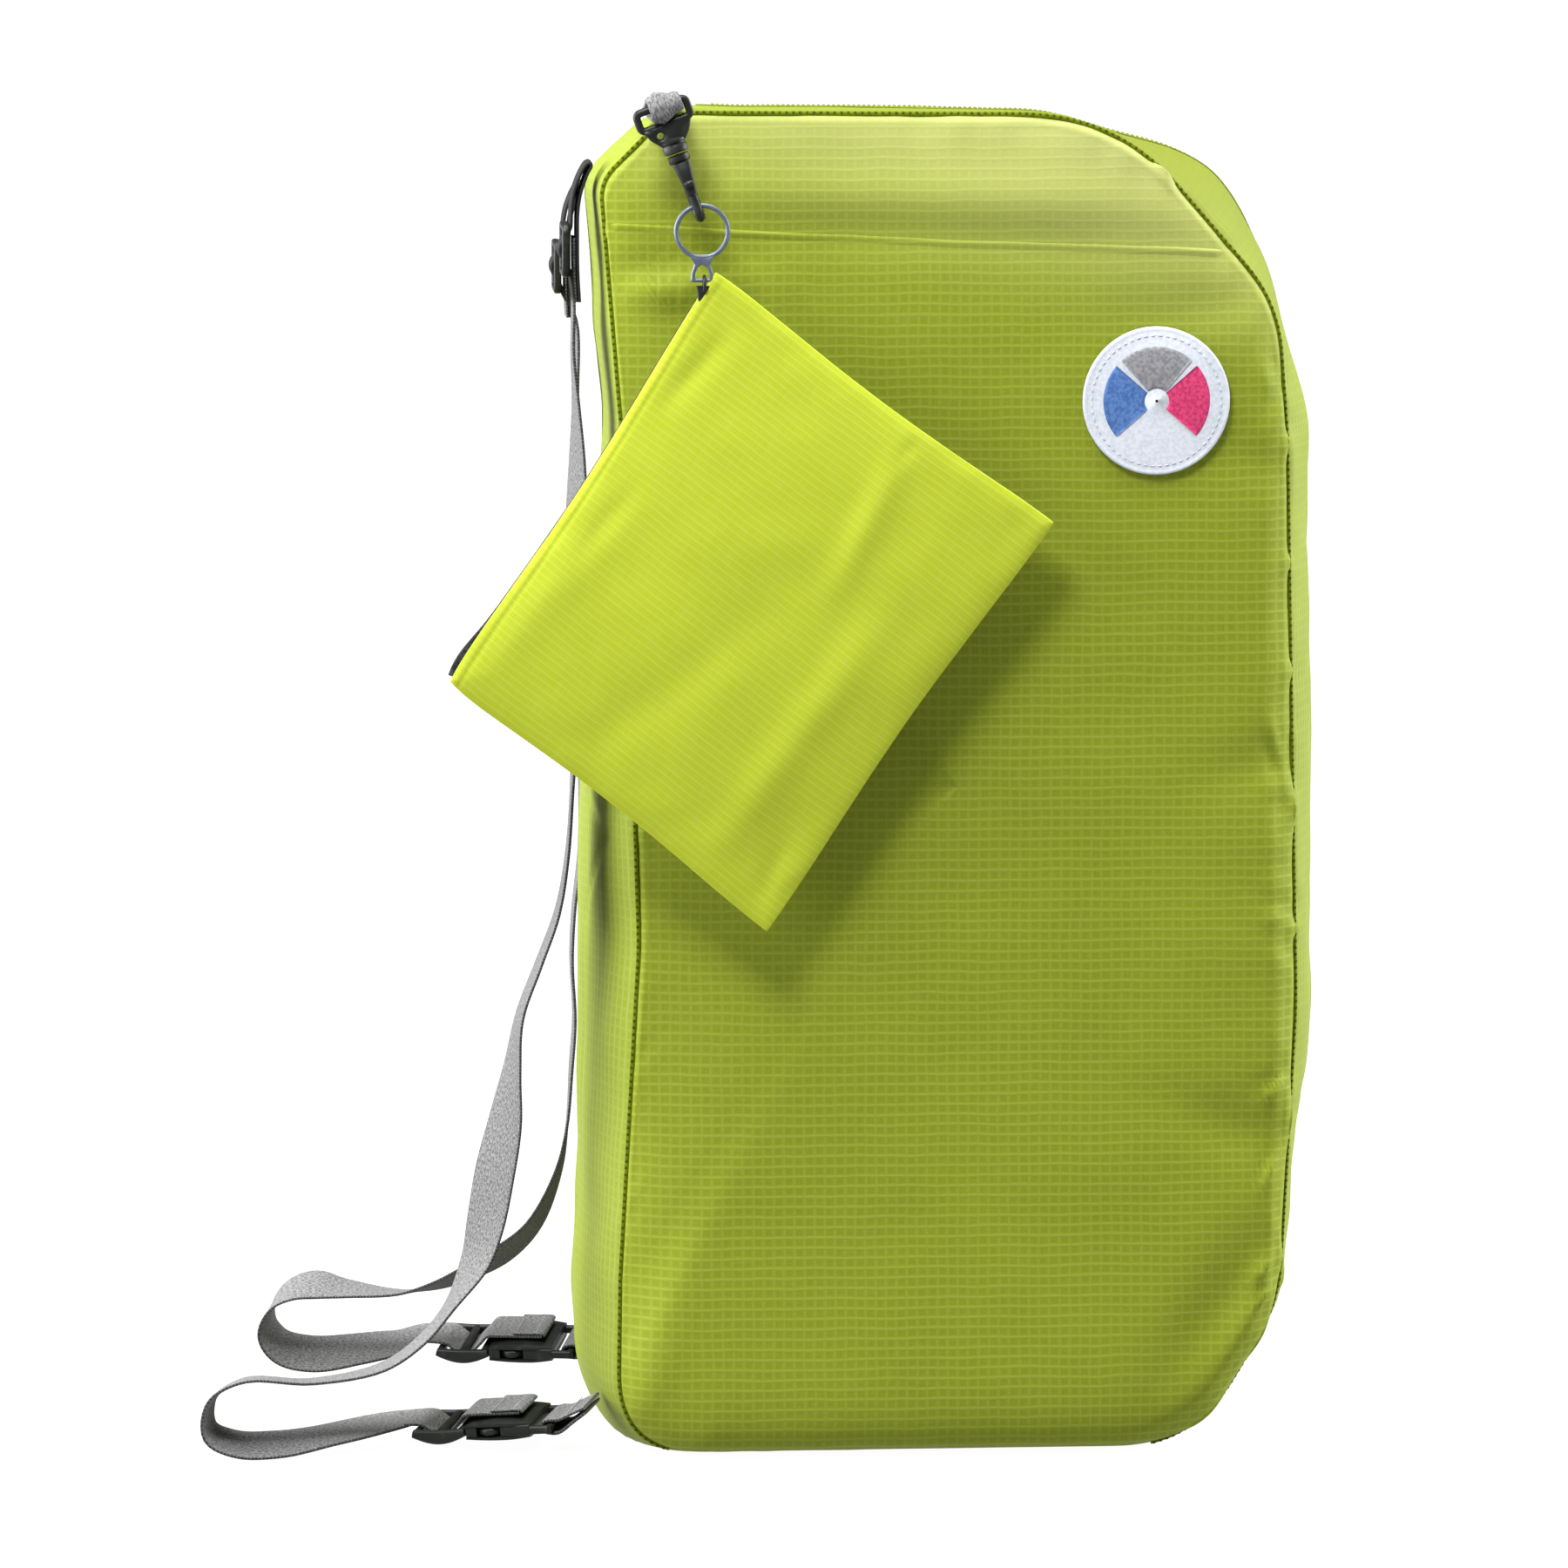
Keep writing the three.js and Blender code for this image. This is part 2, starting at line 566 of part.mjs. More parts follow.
function ladderGeometry() {
  const [b0, b1, b2, b3, b4, b5] = LADDER.bars;
  const half = LADDER.wide / 2;
  const shape = roundedRectangle(b0, b5, -half, half, 1.2);
  const frame = slotted(plate(shape, LADDER.thick), [[b1, b2], [b3, b4]], LADDER.slot);
  const edge = PRONG.wide / 2;
  const prongHalf = PRONG.thick / 2;
  const fork = [
    box(b5 - 1.5, PRONG.end, edge - 4, edge, -prongHalf, prongHalf),
    box(b5 - 1.5, PRONG.end, -edge, 4 - edge, -prongHalf, prongHalf),
    box(b5 - 1.5, PRONG.end - 4, -1.6, 1.6, -prongHalf, prongHalf),
  ];
  return joined(frame, ...fork);
}

function catchGeometry() {
  const half = LADDER.wide / 2;
  const body = plate(roundedRectangle(CATCH.start, CATCH.shoulder, -half, half, 3), CATCH.thick, 1.4);
  const tail = plate(roundedRectangle(CATCH.shoulder - 2, CATCH.end, -half, half, 1.2), LADDER.thick);
  const inside = PRONG.wide / 2 + 0.6;
  const clear = PRONG.thick / 2 + 0.5;
  return cut(
    joined(body, tail),
    box(CATCH.start - 1, PRONG.end + 0.8, -inside, inside, -clear, clear),
    box(CATCH.start + 4, CATCH.start + 12, -half - 1, half + 1, -clear, clear),
    box(CATCH.slotStart, CATCH.slotEnd, -LADDER.slot / 2, LADDER.slot / 2, -5, 5),
  );
}

function sliderGeometry() {
  const [halfLong, halfWide] = [8.8, 13];
  const shape = roundedRectangle(-halfLong, halfLong, -halfWide, halfWide, 1.6);
  return slotted(plate(shape, 1.8), [[-7.3, -1.3], [1.3, 7.3]], LADDER.slot);
}

// Snap hook, along -Z from the bottom of its swivel barrel, open side towards -Y.
const EYE = { half: 9.5, foot: 3.8, low: 3.6, shoulder: 7.8, waist: 9, top: 17.6, thick: 4 };
function eyeGeometry() {
  const outline = new THREE.Shape();
  outline.moveTo(-EYE.foot, EYE.low);
  outline.lineTo(EYE.foot, EYE.low);
  outline.lineTo(EYE.shoulder, EYE.waist);
  outline.lineTo(EYE.half, EYE.waist + 0.6);
  outline.lineTo(EYE.half, EYE.top);
  outline.lineTo(-EYE.half, EYE.top);
  outline.lineTo(-EYE.half, EYE.waist + 0.6);
  outline.lineTo(-EYE.shoulder, EYE.waist);
  outline.holes.push(roundedRectangle(-7.6, 7.6, 10.6, 15, 0.8, THREE.Path));
  const pinHole = new THREE.Path();
  pinHole.absarc(-3.2, 7.2, 1.1, 0, 2 * Math.PI);
  outline.holes.push(pinHole);
  const frame = plate(outline, EYE.thick, 0.4).rotateX(Math.PI / 2);
  const barrel = new THREE.CylinderGeometry(3.4, 3.9, 4, 14).rotateX(Math.PI / 2).translate(0, 0, 2.4);
  return joined(frame, barrel);
}

// Shank below its collar: places out to the back and down, then the bend.
const SHANK_NECK = [
  { back: 1.2, down: 1.4 },
  { back: 3.6, down: 4.5 },
  { back: HOOK_BEND, down: 9 },
];
const HOOK_TIP = 3.2; // straight end above the bend
function shankGeometry() {
  const height = 2.6;
  const collar = new THREE.CylinderGeometry(3.2, 3.6, height, 14).rotateX(Math.PI / 2);
  collar.translate(0, 0, -height / 2 - GAP);
  const route = SHANK_NECK.map((row) => ({ p: new THREE.Vector3(0, row.back, -row.down) }));
  const bendSteps = 8;
  for (let k = 0; k <= bendSteps; k++) {
    const angle = (Math.PI * k) / bendSteps;
    const y = HOOK_BEND * Math.cos(angle);
    route.push({ p: new THREE.Vector3(0, y, -HOOK_DROP - HOOK_BEND * Math.sin(angle)) });
  }
  route.push({ p: new THREE.Vector3(0, -HOOK_BEND, HOOK_TIP - HOOK_DROP) });
  const wire = sweep(stationsAlong(route, 1, LEVEL), roundSection(HOOK_WIRE / 2, 8));
  return joined(collar, wire);
}

// Gate in front of the shank: places out to the front and down, from its pivot to the tip of the bend.
const GATE_RADIUS = 1.7;
const GATE_RUN = [
  { front: 3.9, down: 3.7 },
  { front: 4.4, down: 8 },
  { front: HOOK_BEND, down: 13.6 },
];
function gateGeometry() {
  const route = GATE_RUN.map((row) => ({ p: new THREE.Vector3(0, -row.front, -row.down) }));
  return sweep(stationsAlong(route, 2, LEVEL), roundSection(GATE_RADIUS, 8));
}

// Ring pull in the plane it hangs in, with the splayed tail that holds the zip slider.
const TAIL = { neck: 2.6, foot: 3.8, end: -16.4, thick: 1.6, hole: 2.3, holeLow: -15.2, holeHigh: -10.6 };
function ringGeometry() {
  const ring = new THREE.TorusGeometry(RING.radius, RING.wire / 2, 6, 24);
  const tail = new THREE.Shape();
  tail.moveTo(-TAIL.neck, -RING.radius);
  tail.lineTo(-TAIL.foot, TAIL.end);
  tail.lineTo(TAIL.foot, TAIL.end);
  tail.lineTo(TAIL.neck, -RING.radius);
  tail.holes.push(roundedRectangle(-TAIL.hole, TAIL.hole, TAIL.holeLow, TAIL.holeHigh, 1.4, THREE.Path));
  return joined(ring, plate(tail, TAIL.thick)).rotateX(Math.PI / 2);
}

// Pouch sheets: a four-cornered grid, edges pulled in, puffed away from the plane that it hangs in.
const between = (p, q, t) => new THREE.Vector2(p.x, p.z).lerp(new THREE.Vector2(q.x, q.z), t);
const nearEdge = (share) => Math.abs(2 * share - 1) ** 6;
function pouchPoint(a, b, lift) {
  const { left, top, right, bottom } = POUCH_CORNERS;
  const flat = between(left, top, a).lerp(between(bottom, right, a), b);
  const middle = between(left, top, 0.5).lerp(between(bottom, right, 0.5), 0.5);
  const pull = nearEdge(a) * Math.sin(Math.PI * b) + nearEdge(b) * Math.sin(Math.PI * a);
  flat.addScaledVector(middle.sub(flat).normalize(), POUCH_PULL * pull);
  const puff = Math.sqrt(Math.max(Math.sin(Math.PI * a) * Math.sin(Math.PI * b), 0));
  return new THREE.Vector3(flat.x, lift + Math.sign(lift) * POUCH_PUFF * puff, flat.y);
}

function pouchSheet(side) {
  const steps = 9;
  const grid = (lift) =>
    Array.from({ length: steps + 1 }, (_, i) =>
      Array.from({ length: steps + 1 }, (_, j) => pouchPoint(i / steps, j / steps, side * lift)),
    );
  return wallBetween(grid(POUCH_EDGE + POUCH_WALL), grid(POUCH_EDGE), false).translate(0, HOOK.y, 0);
}

// Zip between the sheets, along the pouch's upper left edge.
const POUCH_TAPE = { wide: 4.5, thick: 1.4, inset: 1.9, start: 0.03, end: 0.9 };
function pouchZip() {
  const steps = 10;
  const { left, top } = POUCH_CORNERS;
  const inward = new THREE.Vector3(top.z - left.z, 0, left.x - top.x).normalize();
  const route = Array.from({ length: steps + 1 }, (_, i) => {
    const share = THREE.MathUtils.lerp(POUCH_TAPE.start, POUCH_TAPE.end, i / steps);
    const p = pouchPoint(share, 0, 1).setY(HOOK.y);
    return { p: p.addScaledVector(inward, POUCH_TAPE.inset) };
  });
  return sweep(stationsAlong(route, 1, inward), flatSection(POUCH_TAPE.wide, POUCH_TAPE.thick));
}

const ZIP_SLIDER = { x: -85.6, z: 388.4, wide: 6.8, thick: 2.4, tall: 8.4 };
const BAIL = { half: 2.4, foot: 2.2, spring: 3.6, rise: 3.6, radius: 0.6 };
function pouchSliderGeometry() {
  const body = new THREE.BoxGeometry(ZIP_SLIDER.wide, ZIP_SLIDER.thick, ZIP_SLIDER.tall);
  const arch = Array.from({ length: 7 }, (_, k) => {
    const angle = (Math.PI * k) / 6;
    const z = BAIL.spring + BAIL.rise * Math.sin(angle);
    return { p: new THREE.Vector3(0, -BAIL.half * Math.cos(angle), z) };
  });
  arch.unshift({ p: new THREE.Vector3(0, -1.0, BAIL.foot) });
  arch.push({ p: new THREE.Vector3(0, 1.0, BAIL.foot) });
  const bail = sweep(stationsAlong(arch, 1, LEVEL), roundSection(BAIL.radius, 6));
  return joined(body, bail);
}

// Assembly
const backpack = new THREE.Group();
function add(parent, name, geometry, material) {
  const mesh = new THREE.Mesh(geometry, material);
  mesh.name = name;
  parent.add(mesh);
  return mesh;
}

const bag = new THREE.Group();
backpack.add(bag);
add(bag, "front_panel", widePanel(-1, PANEL_FOLDS, 1), finish(RIPSTOP, 0.6));
add(bag, "back_panel", widePanel(1, [], 2), finish(RIPSTOP, 0.6));
const JOIN = 0.4; // play where two lengths of the narrow side meet
const gussetJoins = ["base_left", "base_right", "shoulder_right", "shoulder_left"];
const gussetNames = ["base_gusset", "right_gusset", "top_gusset", "harness_gusset"];
gussetNames.forEach((name, i) => {
  const from = seam.mark(gussetJoins[i]) + JOIN;
  const to = seam.mark(gussetJoins[(i + 1) % gussetJoins.length]) - JOIN;
  add(bag, name, gussetLength(from, to, 17), finish(RIPSTOP, 0.6));
});
add(bag, "main_zip", mainZip(), finish(RIPSTOP, 0.8));
add(bag, "badge", badgeGeometry(), finish(BADGE_CLOTH, 0.8));

// The tab's loop: in along its upper layer, round the end bar, and back along its lower layer.
function tabRoute(tab) {
  const [lead] = TAB_LOOP;
  const end = (side) => ({ along: tab.along, up: tab.up + side * TAB_SPLIT });
  const midway = (side) => ({
    along: (tab.along + lead.along) / 2,
    up: (tab.up + side * (TAB_SPLIT + lead.up)) / 2,
  });
  const lower = TAB_LOOP.toReversed().map((row) => ({ along: row.along, up: -row.up }));
  return [end(1), midway(1), ...TAB_LOOP, TAB_TURN, ...lower, midway(-1), end(-1)];
}

// One side of the harness. The strap runs from its tail and turn above the slider, down its hanging run, and
// through the ladder lock.
function harness(name, route, buckle, sliderAt) {
  const group = new THREE.Group();
  backpack.add(group);
  const web = flatSection(WEB_WIDTH, WEB_THICK);
  const slider = add(group, name + "_slider", sliderGeometry(), finish(ACETAL, 0.4));
  slider.position.set(sliderAt.x, sliderAt.y, sliderAt.z);
  slider.rotation.y = -Math.PI / 2;

  const lock = new THREE.Group();
  const [roll, rise, swing] = [buckle.roll, -buckle.rise, -buckle.swing].map(THREE.MathUtils.degToRad);
  lock.position.set(buckle.x, buckle.y, buckle.z);
  lock.rotation.set(roll, rise, swing, "ZYX");
  lock.updateMatrix();
  group.add(lock);
  add(lock, name + "_ladder", ladderGeometry(), finish(ACETAL, 0.4));
  add(lock, name + "_catch", catchGeometry(), finish(ACETAL, 0.4));
  const tab = tabRoute(buckle.tab).map((row) => ({ p: new THREE.Vector3(row.along, 0, row.up) }));
  add(lock, name + "_tab", sweep(stationsAlong(tab, 2, SIDEWAYS), web), finish(WEBBING, 0.85));

  const across = SIDEWAYS.clone().transformDirection(lock.matrix);
  const thread = [
    ...SLIDER_THREAD.map((row) => ({
      p: new THREE.Vector3(sliderAt.x - row.out, sliderAt.y, sliderAt.z + row.along),
    })),
    ...route.map((row) => ({ p: new THREE.Vector3(row.x, row.y, row.z), turn: row.turn })),
    ...LADDER_THREAD.map((row) => ({
      p: new THREE.Vector3(row.along, 0, row.up).applyMatrix4(lock.matrix),
      across,
    })),
  ];
  add(group, name + "_strap", sweep(stationsAlong(thread, 2, SIDEWAYS), web), finish(WEBBING, 0.85));
}
harness("near", NEAR_ROUTE, BUCKLES.near, SLIDERS.near);
harness("far", FAR_ROUTE, BUCKLES.far, SLIDERS.far);

const hook = new THREE.Group();
hook.position.set(HOOK.x, HOOK.y, HOOK.z);
hook.rotation.y = HOOK.tilt;
backpack.add(hook);
add(hook, "hook_eye", eyeGeometry(), finish(ACETAL, 0.35));
add(hook, "hook_shank", shankGeometry(), finish(ACETAL, 0.35));
add(hook, "hook_gate", gateGeometry(), finish(ACETAL, 0.35));

// Webbing loop round the eye's top bar, lying on the top of the bag behind it: back from the bar, and up.
const LOOP_WIDTH = 14;
const LOOP_BAR = 16.3;
const LOOP_ROUTE = [
  { back: 40, up: -0.5 },
  { back: 26, up: -0.4 },
  { back: 12, up: 1.4 },
  { back: 3, up: 2.4 },
  { back: -2.2, up: 1.9 },
  { back: -3.15, up: 0 },
  { back: -2.2, up: -1.9 },
  { back: 3, up: -2.35 },
  { back: 12, up: -2.3 },
  { back: 26, up: -2.25 },
  { back: 40, up: -2.2 },
];
const loopRoute = LOOP_ROUTE.map((row) => ({ p: new THREE.Vector3(0, row.back, LOOP_BAR + row.up) }));
const loopGeometry = sweep(stationsAlong(loopRoute, 2, LEVEL), flatSection(LOOP_WIDTH, WEB_THICK));
add(hook, "hook_loop", loopGeometry, finish(WEBBING, 0.85));

const pouch = new THREE.Group();
backpack.add(pouch);
const ring = add(pouch, "pull_ring", ringGeometry(), finish(PULL_METAL, 0.35, 0.9));
ring.position.set(RING.x, HOOK.y, RING.z);
const slider = add(pouch, "pouch_slider", pouchSliderGeometry(), finish(ACETAL, 0.4));
slider.position.set(ZIP_SLIDER.x, HOOK.y, ZIP_SLIDER.z);
add(pouch, "pouch_zip", pouchZip(), finish(ACETAL, 0.7));
add(pouch, "pouch_front", pouchSheet(-1), finish(POUCH_LIME, 0.55));
add(pouch, "pouch_back", pouchSheet(1), finish(POUCH_LIME, 0.55));

export default backpack;
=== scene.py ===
"""A convertible backpack of lime ripstop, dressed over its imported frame.

Tables and shapes are in millimetres, in the frame of the part: X across the wide face, Y from the front
face to the back, Z up from the flat base. Every shape is a grid of points worked out with numpy, and
make_piece puts it into a mesh in metres. The studio is in metres.
"""

import math

import bpy
import numpy as np
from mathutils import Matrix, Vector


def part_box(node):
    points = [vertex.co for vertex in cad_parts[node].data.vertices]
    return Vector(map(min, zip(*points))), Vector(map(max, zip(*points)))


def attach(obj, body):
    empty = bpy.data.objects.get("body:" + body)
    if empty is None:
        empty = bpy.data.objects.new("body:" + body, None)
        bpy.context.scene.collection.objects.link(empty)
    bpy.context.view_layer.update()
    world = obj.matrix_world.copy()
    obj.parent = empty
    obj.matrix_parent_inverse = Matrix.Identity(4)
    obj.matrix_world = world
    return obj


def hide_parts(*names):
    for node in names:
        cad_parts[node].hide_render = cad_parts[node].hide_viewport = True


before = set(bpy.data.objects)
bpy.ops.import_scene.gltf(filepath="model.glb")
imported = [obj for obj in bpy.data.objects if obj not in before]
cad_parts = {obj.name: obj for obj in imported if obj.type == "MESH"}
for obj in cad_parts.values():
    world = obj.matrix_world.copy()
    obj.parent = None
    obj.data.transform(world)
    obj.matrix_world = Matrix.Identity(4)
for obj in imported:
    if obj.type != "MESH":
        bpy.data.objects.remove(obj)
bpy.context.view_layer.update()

MM = 0.001

# Bag
HALF_DEPTH = 65.0
SEAM_LIFT = 1.85  # a wide panel's edge stands this far outside the plane of its seam
CROWN = 8.0
SETTLE = 5.0
SETTLE_HEIGHT = 75.0
BACK_DROP = 0.012
PANEL_MIDDLE = 225.0
GROOVE = 3.0  # depth of the sewn groove between a panel and the narrow side
GROOVE_WIDE = 1.3
SIDE_GROOVE = 1.7  # the same groove, on the narrow side
EDGE_INSET = 0.9  # a panel's edge lies this far inside the seam, and further out where folds close it
PINCH_OUT = 1.5
PINCH_HIGH = 0.9  # height and reach of the cloth that closes the groove
PINCH_WIDE = 3.0
ALLOWANCE_HIGH = 0.3  # ridge of the folded seam allowance: height, place and width
ALLOWANCE_AT = 2.8
ALLOWANCE_WIDE = 1.3
PUCKER_HIGH = 0.75
PUCKER_REACH = 9.0
# Slow waves and puckers of the cloth: height, lattice size, step of the seed
PANEL_WAVES = ((0.5, 48.0, 0), (0.18, 19.0, 1))
PUCKER_WAVES = ((1.0, 7.0, 0), (0.8, 15.0, 1))
POUCH_WAVES = ((0.45, 26.0, 0), (0.15, 11.0, 3))
SIDE_CALM = 20.0  # the narrow side's waves die off within this distance of a seam or the floor
CLOTH_THICK = 0.45
STATION_COUNT = 640
# Rings of a wide panel: distances from its edge, then even shares of what is left
EDGE_RINGS = np.array([
    0, 0.5, 1.0, 1.6, 2.3, 3.0, 3.7, 4.5, 5.5, 6.7, 8, 9.5, 11.5, 14, 17, 20.5, 24.5, 29, 34,
])
INNER_RINGS = 44
# Columns of the narrow side: distances from a seam, then an even step to the middle
SIDE_COLUMNS = np.array([0, 0.6, 1.2, 2, 3, 4.2, 5.6, 7.2, 9, 11])
SIDE_STEP = 2.4
# Painted light towards the top of the bag's cloth: between these heights, sooner on its right, the colour
# goes by up to this share to a pale painted highlight on the wide panels and a darker painted shade on the
# narrow side
PAINTED_TOP_FROM = 380.0
PAINTED_TOP_TO = 464.0
PAINTED_TOP_LEAN = 0.28
PAINTED_TOP_SHARE = 0.85

# Seam corners: x, z, rounding, bulge of the narrow side, rise of the panel, strength of the puckers, and how
# crisply the panel bends at the end of its rise
SEAM = np.array([
    (-84, 0, 0, 0, 5, 0.2, 0.2),
    (52, 0, 0, 0, 5, 0.2, 0.2),
    (80, 0, 45, 4, 9, 0.8, 0.5),
    (109, 48, 60, 10, 9, 1.3, 1.0),
    (114, 150, 200, 12, 9, 1.1, 1.0),
    (109.5, 340, 200, 14, 10, 1.1, 0.5),
    (106, 384, 50, 12, 14, 1.1, 0.2),
    (52, 446, 70, 0.5, 26, 1.0, 0),
    (-95, 447, 24, 1.5, 26, 0.6, 0),
    (-117.5, 424.5, 14, 2, 34, 0.5, 0),
    (-111, 345, 150, 4, 42, 0.5, 0),
    (-105.5, 172, 150, 17, 42, 0.5, 0),
    (-112, 60, 100, 13, 30, 0.3, 0),
    (-113, 0, 28, 11, 10, 0.5, 0),
], float)
BEND_SOFT = 0.13  # softness of that bend, as a share of the rise
# Places on the seam where folds close its groove: x, z, reach
PINCHES = np.array([
    (109, 337.6, 3.5),
    (108.8, 298.2, 3),
    (110, 262, 3),
    (111.5, 216, 9),
    (114.2, 175.7, 2.5),
    (113, 112, 10),
    (107.6, 64.2, 5),
    (68, 427, 5),
    (101, 38, 13),
    (84, 12, 14),
], float)

# Folds of the front panel: x, z, turn from +X in degrees, half length, half width, height outwards
PANEL_FOLDS = np.array([
    (-5, 407.5, -2.4, 95, 6, -1.7),
    (-5, 419, -1.8, 105, 9, 2.8),
    (-98, 389.5, 6, 17, 5, 5.0),
    (-94, 398, 4, 26, 5, -3.4),
    (86, 384, 8, 28, 8, -1.8),
    (106.3, 361, -67, 6, 2, -1.8),
    (102.5, 358, -60, 7, 3, 1.2),
    (104, 330, -15, 20, 9, -1.6),
    (106.2, 236.8, -72, 9, 2.2, 1.5),
    (103, 235.5, -72, 9, 2.4, -1.1),
    (104, 232, 12, 22, 10, -1.6),
    (105.8, 180.2, 20, 4, 2, 1.0),
    (106.5, 122.9, 37, 8, 1.8, 1.6),
    (104.4, 125.7, 37, 8, 2.0, -1.3),
    (104, 94.2, 57, 7, 1.7, 1.4),
    (101.4, 95.9, 57, 7, 1.9, -1.2),
    (98, 108, -20, 30, 10, -2.4),
    (102.5, 61.3, 48, 7, 1.8, 1.8),
    (104.9, 59.1, 48, 7, 1.9, -1.5),
    (103, 52.2, 50, 6, 1.6, 1.4),
    (90, 52, 55, 34, 10, -3.4),
], float)
BACK_FOLDS = np.array([
    (-60, 400, 8, 60, 9, -1.5),
    (70, 330, -30, 50, 10, -1.6),
    (20, 60, 12, 70, 12, 1.5),
    (-80, 130, 60, 45, 9, -1.5),
], float)

# Folds of the narrow side: side, y, z, turn from +Y in degrees, half length, half width, height outwards
GUSSET_FOLDS = np.array([
    (-1, -36, 212, 32, 11, 1.6, -1.4),
    (-1, -34, 192, -49, 16, 1.6, -1.3),
    (-1, -21, 140, 92, 46, 1.8, -0.6),
    (-1, -13, 150, 91, 60, 3.4, 0.6),
    (-1, 12, 120, 80, 60, 8, -2.0),
    (-1, 30, 330, 100, 50, 8, -1.4),
    (1, -20, 300, 86, 70, 9, -1.6),
    (1, 10, 170, 97, 60, 10, -1.8),
    (1, -45, 112, 20, 16, 5, -2.2),
    (1, -40, 55, 35, 18, 6, -2.4),
], float)
# Dents in the outline of the narrow side: x, z, reach, depth
GUSSET_DENTS = np.array([
    (-111, 350, 20, 2),
    (112, 92, 16, 4),
    (111, 62, 14, 3.5),
    (99, 32, 12, 3),
    (108, 377, 22, 6),
    (80, 418, 24, -10),
    (-114, 395, 24, 1.5),
], float)

# The pressed tuck across the front panel, from seam to seam: x, z
TUCK = np.array([(-117, 410.3), (-86.3, 409), (-29.2, 405.9), (47.3, 403), (96, 400.4)])
TUCK_WIDE = 0.55  # reach of its upper and of its lower flank
TUCK_BELOW = 1.9
TUCK_HIGH = 0.2
TUCK_SUNK = 0.55  # its borders lie this deep under the panel
TUCK_SPAN = (-4.2, 1.2)  # and this far below and above it

# Sewing: pitch, length and thickness of the thread dashes
SEAM_DASH = (2.25, 1.6, 1.6)
BADGE_DASH = (2.4, 1.6, 0.5)
WEB_DASH = (1.6, 1.3, 0.45)
POUCH_DASH = (2.6, 1.9, 0.4)
SEAM_ROD = 1.0
SEAM_IN = 0.6  # its middle lies this far inside the seam, and this far out of the seam's plane
SEAM_OUT = 0.2
DASH_OUT = 0.45  # the dashes stand this far out of the rod's middle
SEAM_FOOT = 1.5  # the seam's rods and dashes stop at this height

# Zip on the top: half width, how far its tape stands over the cloth, and its teeth
ZIP_HALF = 12.5
ZIP_LIFT = 0.35
ZIP_THICK = 0.6
ZIP_PITCH = 1.7
ZIP_MARGIN = 4.0
TOOTH = (5.6, 1.2, 0.9)
TOOTH_LIFT = 0.15

BADGE_X = 64.6
BADGE_Z = 352.5
BADGE_RADIUS = 24.3
BADGE_SIDES = 96
# The badge's disc: share of the radius, height over the panel's face
BADGE_PROFILE = np.array([
    (1.0, 0.6), (1.0, 1.7), (0.99, 2.0), (0.975, 2.1), (0.955, 2.05), (0.94, 1.95), (0.92, 1.95),
    (0.6, 2.0), (0.3, 2.0), (0.02, 2.0),
])
# A coloured field's section, the same way, and half the angle that it spans in degrees
FIELD_SECTION = np.array([
    (0.16, 1.9), (0.18, 2.2), (0.22, 2.3), (0.45, 2.3), (0.68, 2.3), (0.71, 2.2), (0.73, 1.9),
])
FIELD_HALF = 41

# Harness
WEB_WIDTH = 20.0
WEB_THICK = 1.2
# Sliders: x, y, z
SLIDERS = {"near": np.array((-128.2, -42, 401)), "far": np.array((-128.0, 42, 390))}
# Straps below the slider: x, y, z, turn of the far edge outwards in degrees
NEAR_ROUTE = np.array([
    (-125.4, -42, 384, 0), (-125.6, -42, 367, 0), (-124.6, -42, 350, 4), (-124.2, -42, 332, 12),
    (-124.4, -42, 312, 18), (-124.6, -42, 280, 18), (-125.2, -42, 250, 8), (-126.2, -42, 224, 0),
    (-128, -42, 199, 0), (-131.3, -42, 180, 1), (-137.5, -42, 162.7, 2), (-144, -42, 145, 4),
    (-146.6, -42, 127, 14), (-149, -42, 109.5, 30), (-152.7, -43, 92, 38), (-156.1, -44, 74.3, 35),
    (-159.5, -45, 62, 24), (-167.5, -48, 48.4, 4), (-177.9, -51, 36.4, 0), (-191, -53, 28, -3),
    (-214.5, -56, 24.1, -7), (-237, -59, 25.4, -8), (-247.7, -60.5, 19.4, -10), (-248.6, -61, 8.8, -12),
    (-240, -60, 4.1, -14), (-226, -58, 3.4, -14), (-208, -52, 5.2, -8),
], float)
FAR_ROUTE = np.array([
    (-121.6, 42, 372, 0), (-121.2, 42, 345, 0), (-121, 42, 300, 0), (-121, 42, 250, 0), (-120.4, 43, 212, 0),
    (-120.6, 45, 188, 0), (-122.8, 45, 167, 0), (-123.6, 45, 150, 0), (-122.7, 45, 130, 0),
    (-123.9, 45, 112, 0), (-125.4, 45, 92, -3), (-128.7, 45, 75.4, -11), (-137.1, 45, 57, -22),
    (-147.3, 45, 47.3, -29), (-159.5, 45, 40.6, -26), (-171.7, 45, 35.8, -18), (-183.8, 46, 33.5, -7),
    (-202, 47, 34.9, 7), (-212, 47, 36.4, 17), (-221, 47, 34.8, 10), (-227.6, 47, 29.6, -4),
    (-229.6, 47, 21, -20), (-225, 47.5, 14.6, -26), (-214.3, 48, 11.8, -27), (-199, 51, 12.6, -21),
    (-184, 56, 14.2, -13),
], float)
# Webbing through the slider: along it, and outwards from its middle
SLIDER_THREAD = np.array([
    (-17, -4.6), (-8, -4.1), (4, -4.0), (13, -4.2), (19, -5.2), (25, -7.3), (27.6, -8.6), (28.6, -8.3),
    (28.3, -7.2), (26, -5.6), (20.5, -3.3), (14.5, -2.2), (9, -1.95), (7.4, -1.75), (4.25, 0),
    (1.2, 1.7), (-1.2, 1.7), (-4.25, 0), (-7.4, -1.75), (-9, -1.95),
])
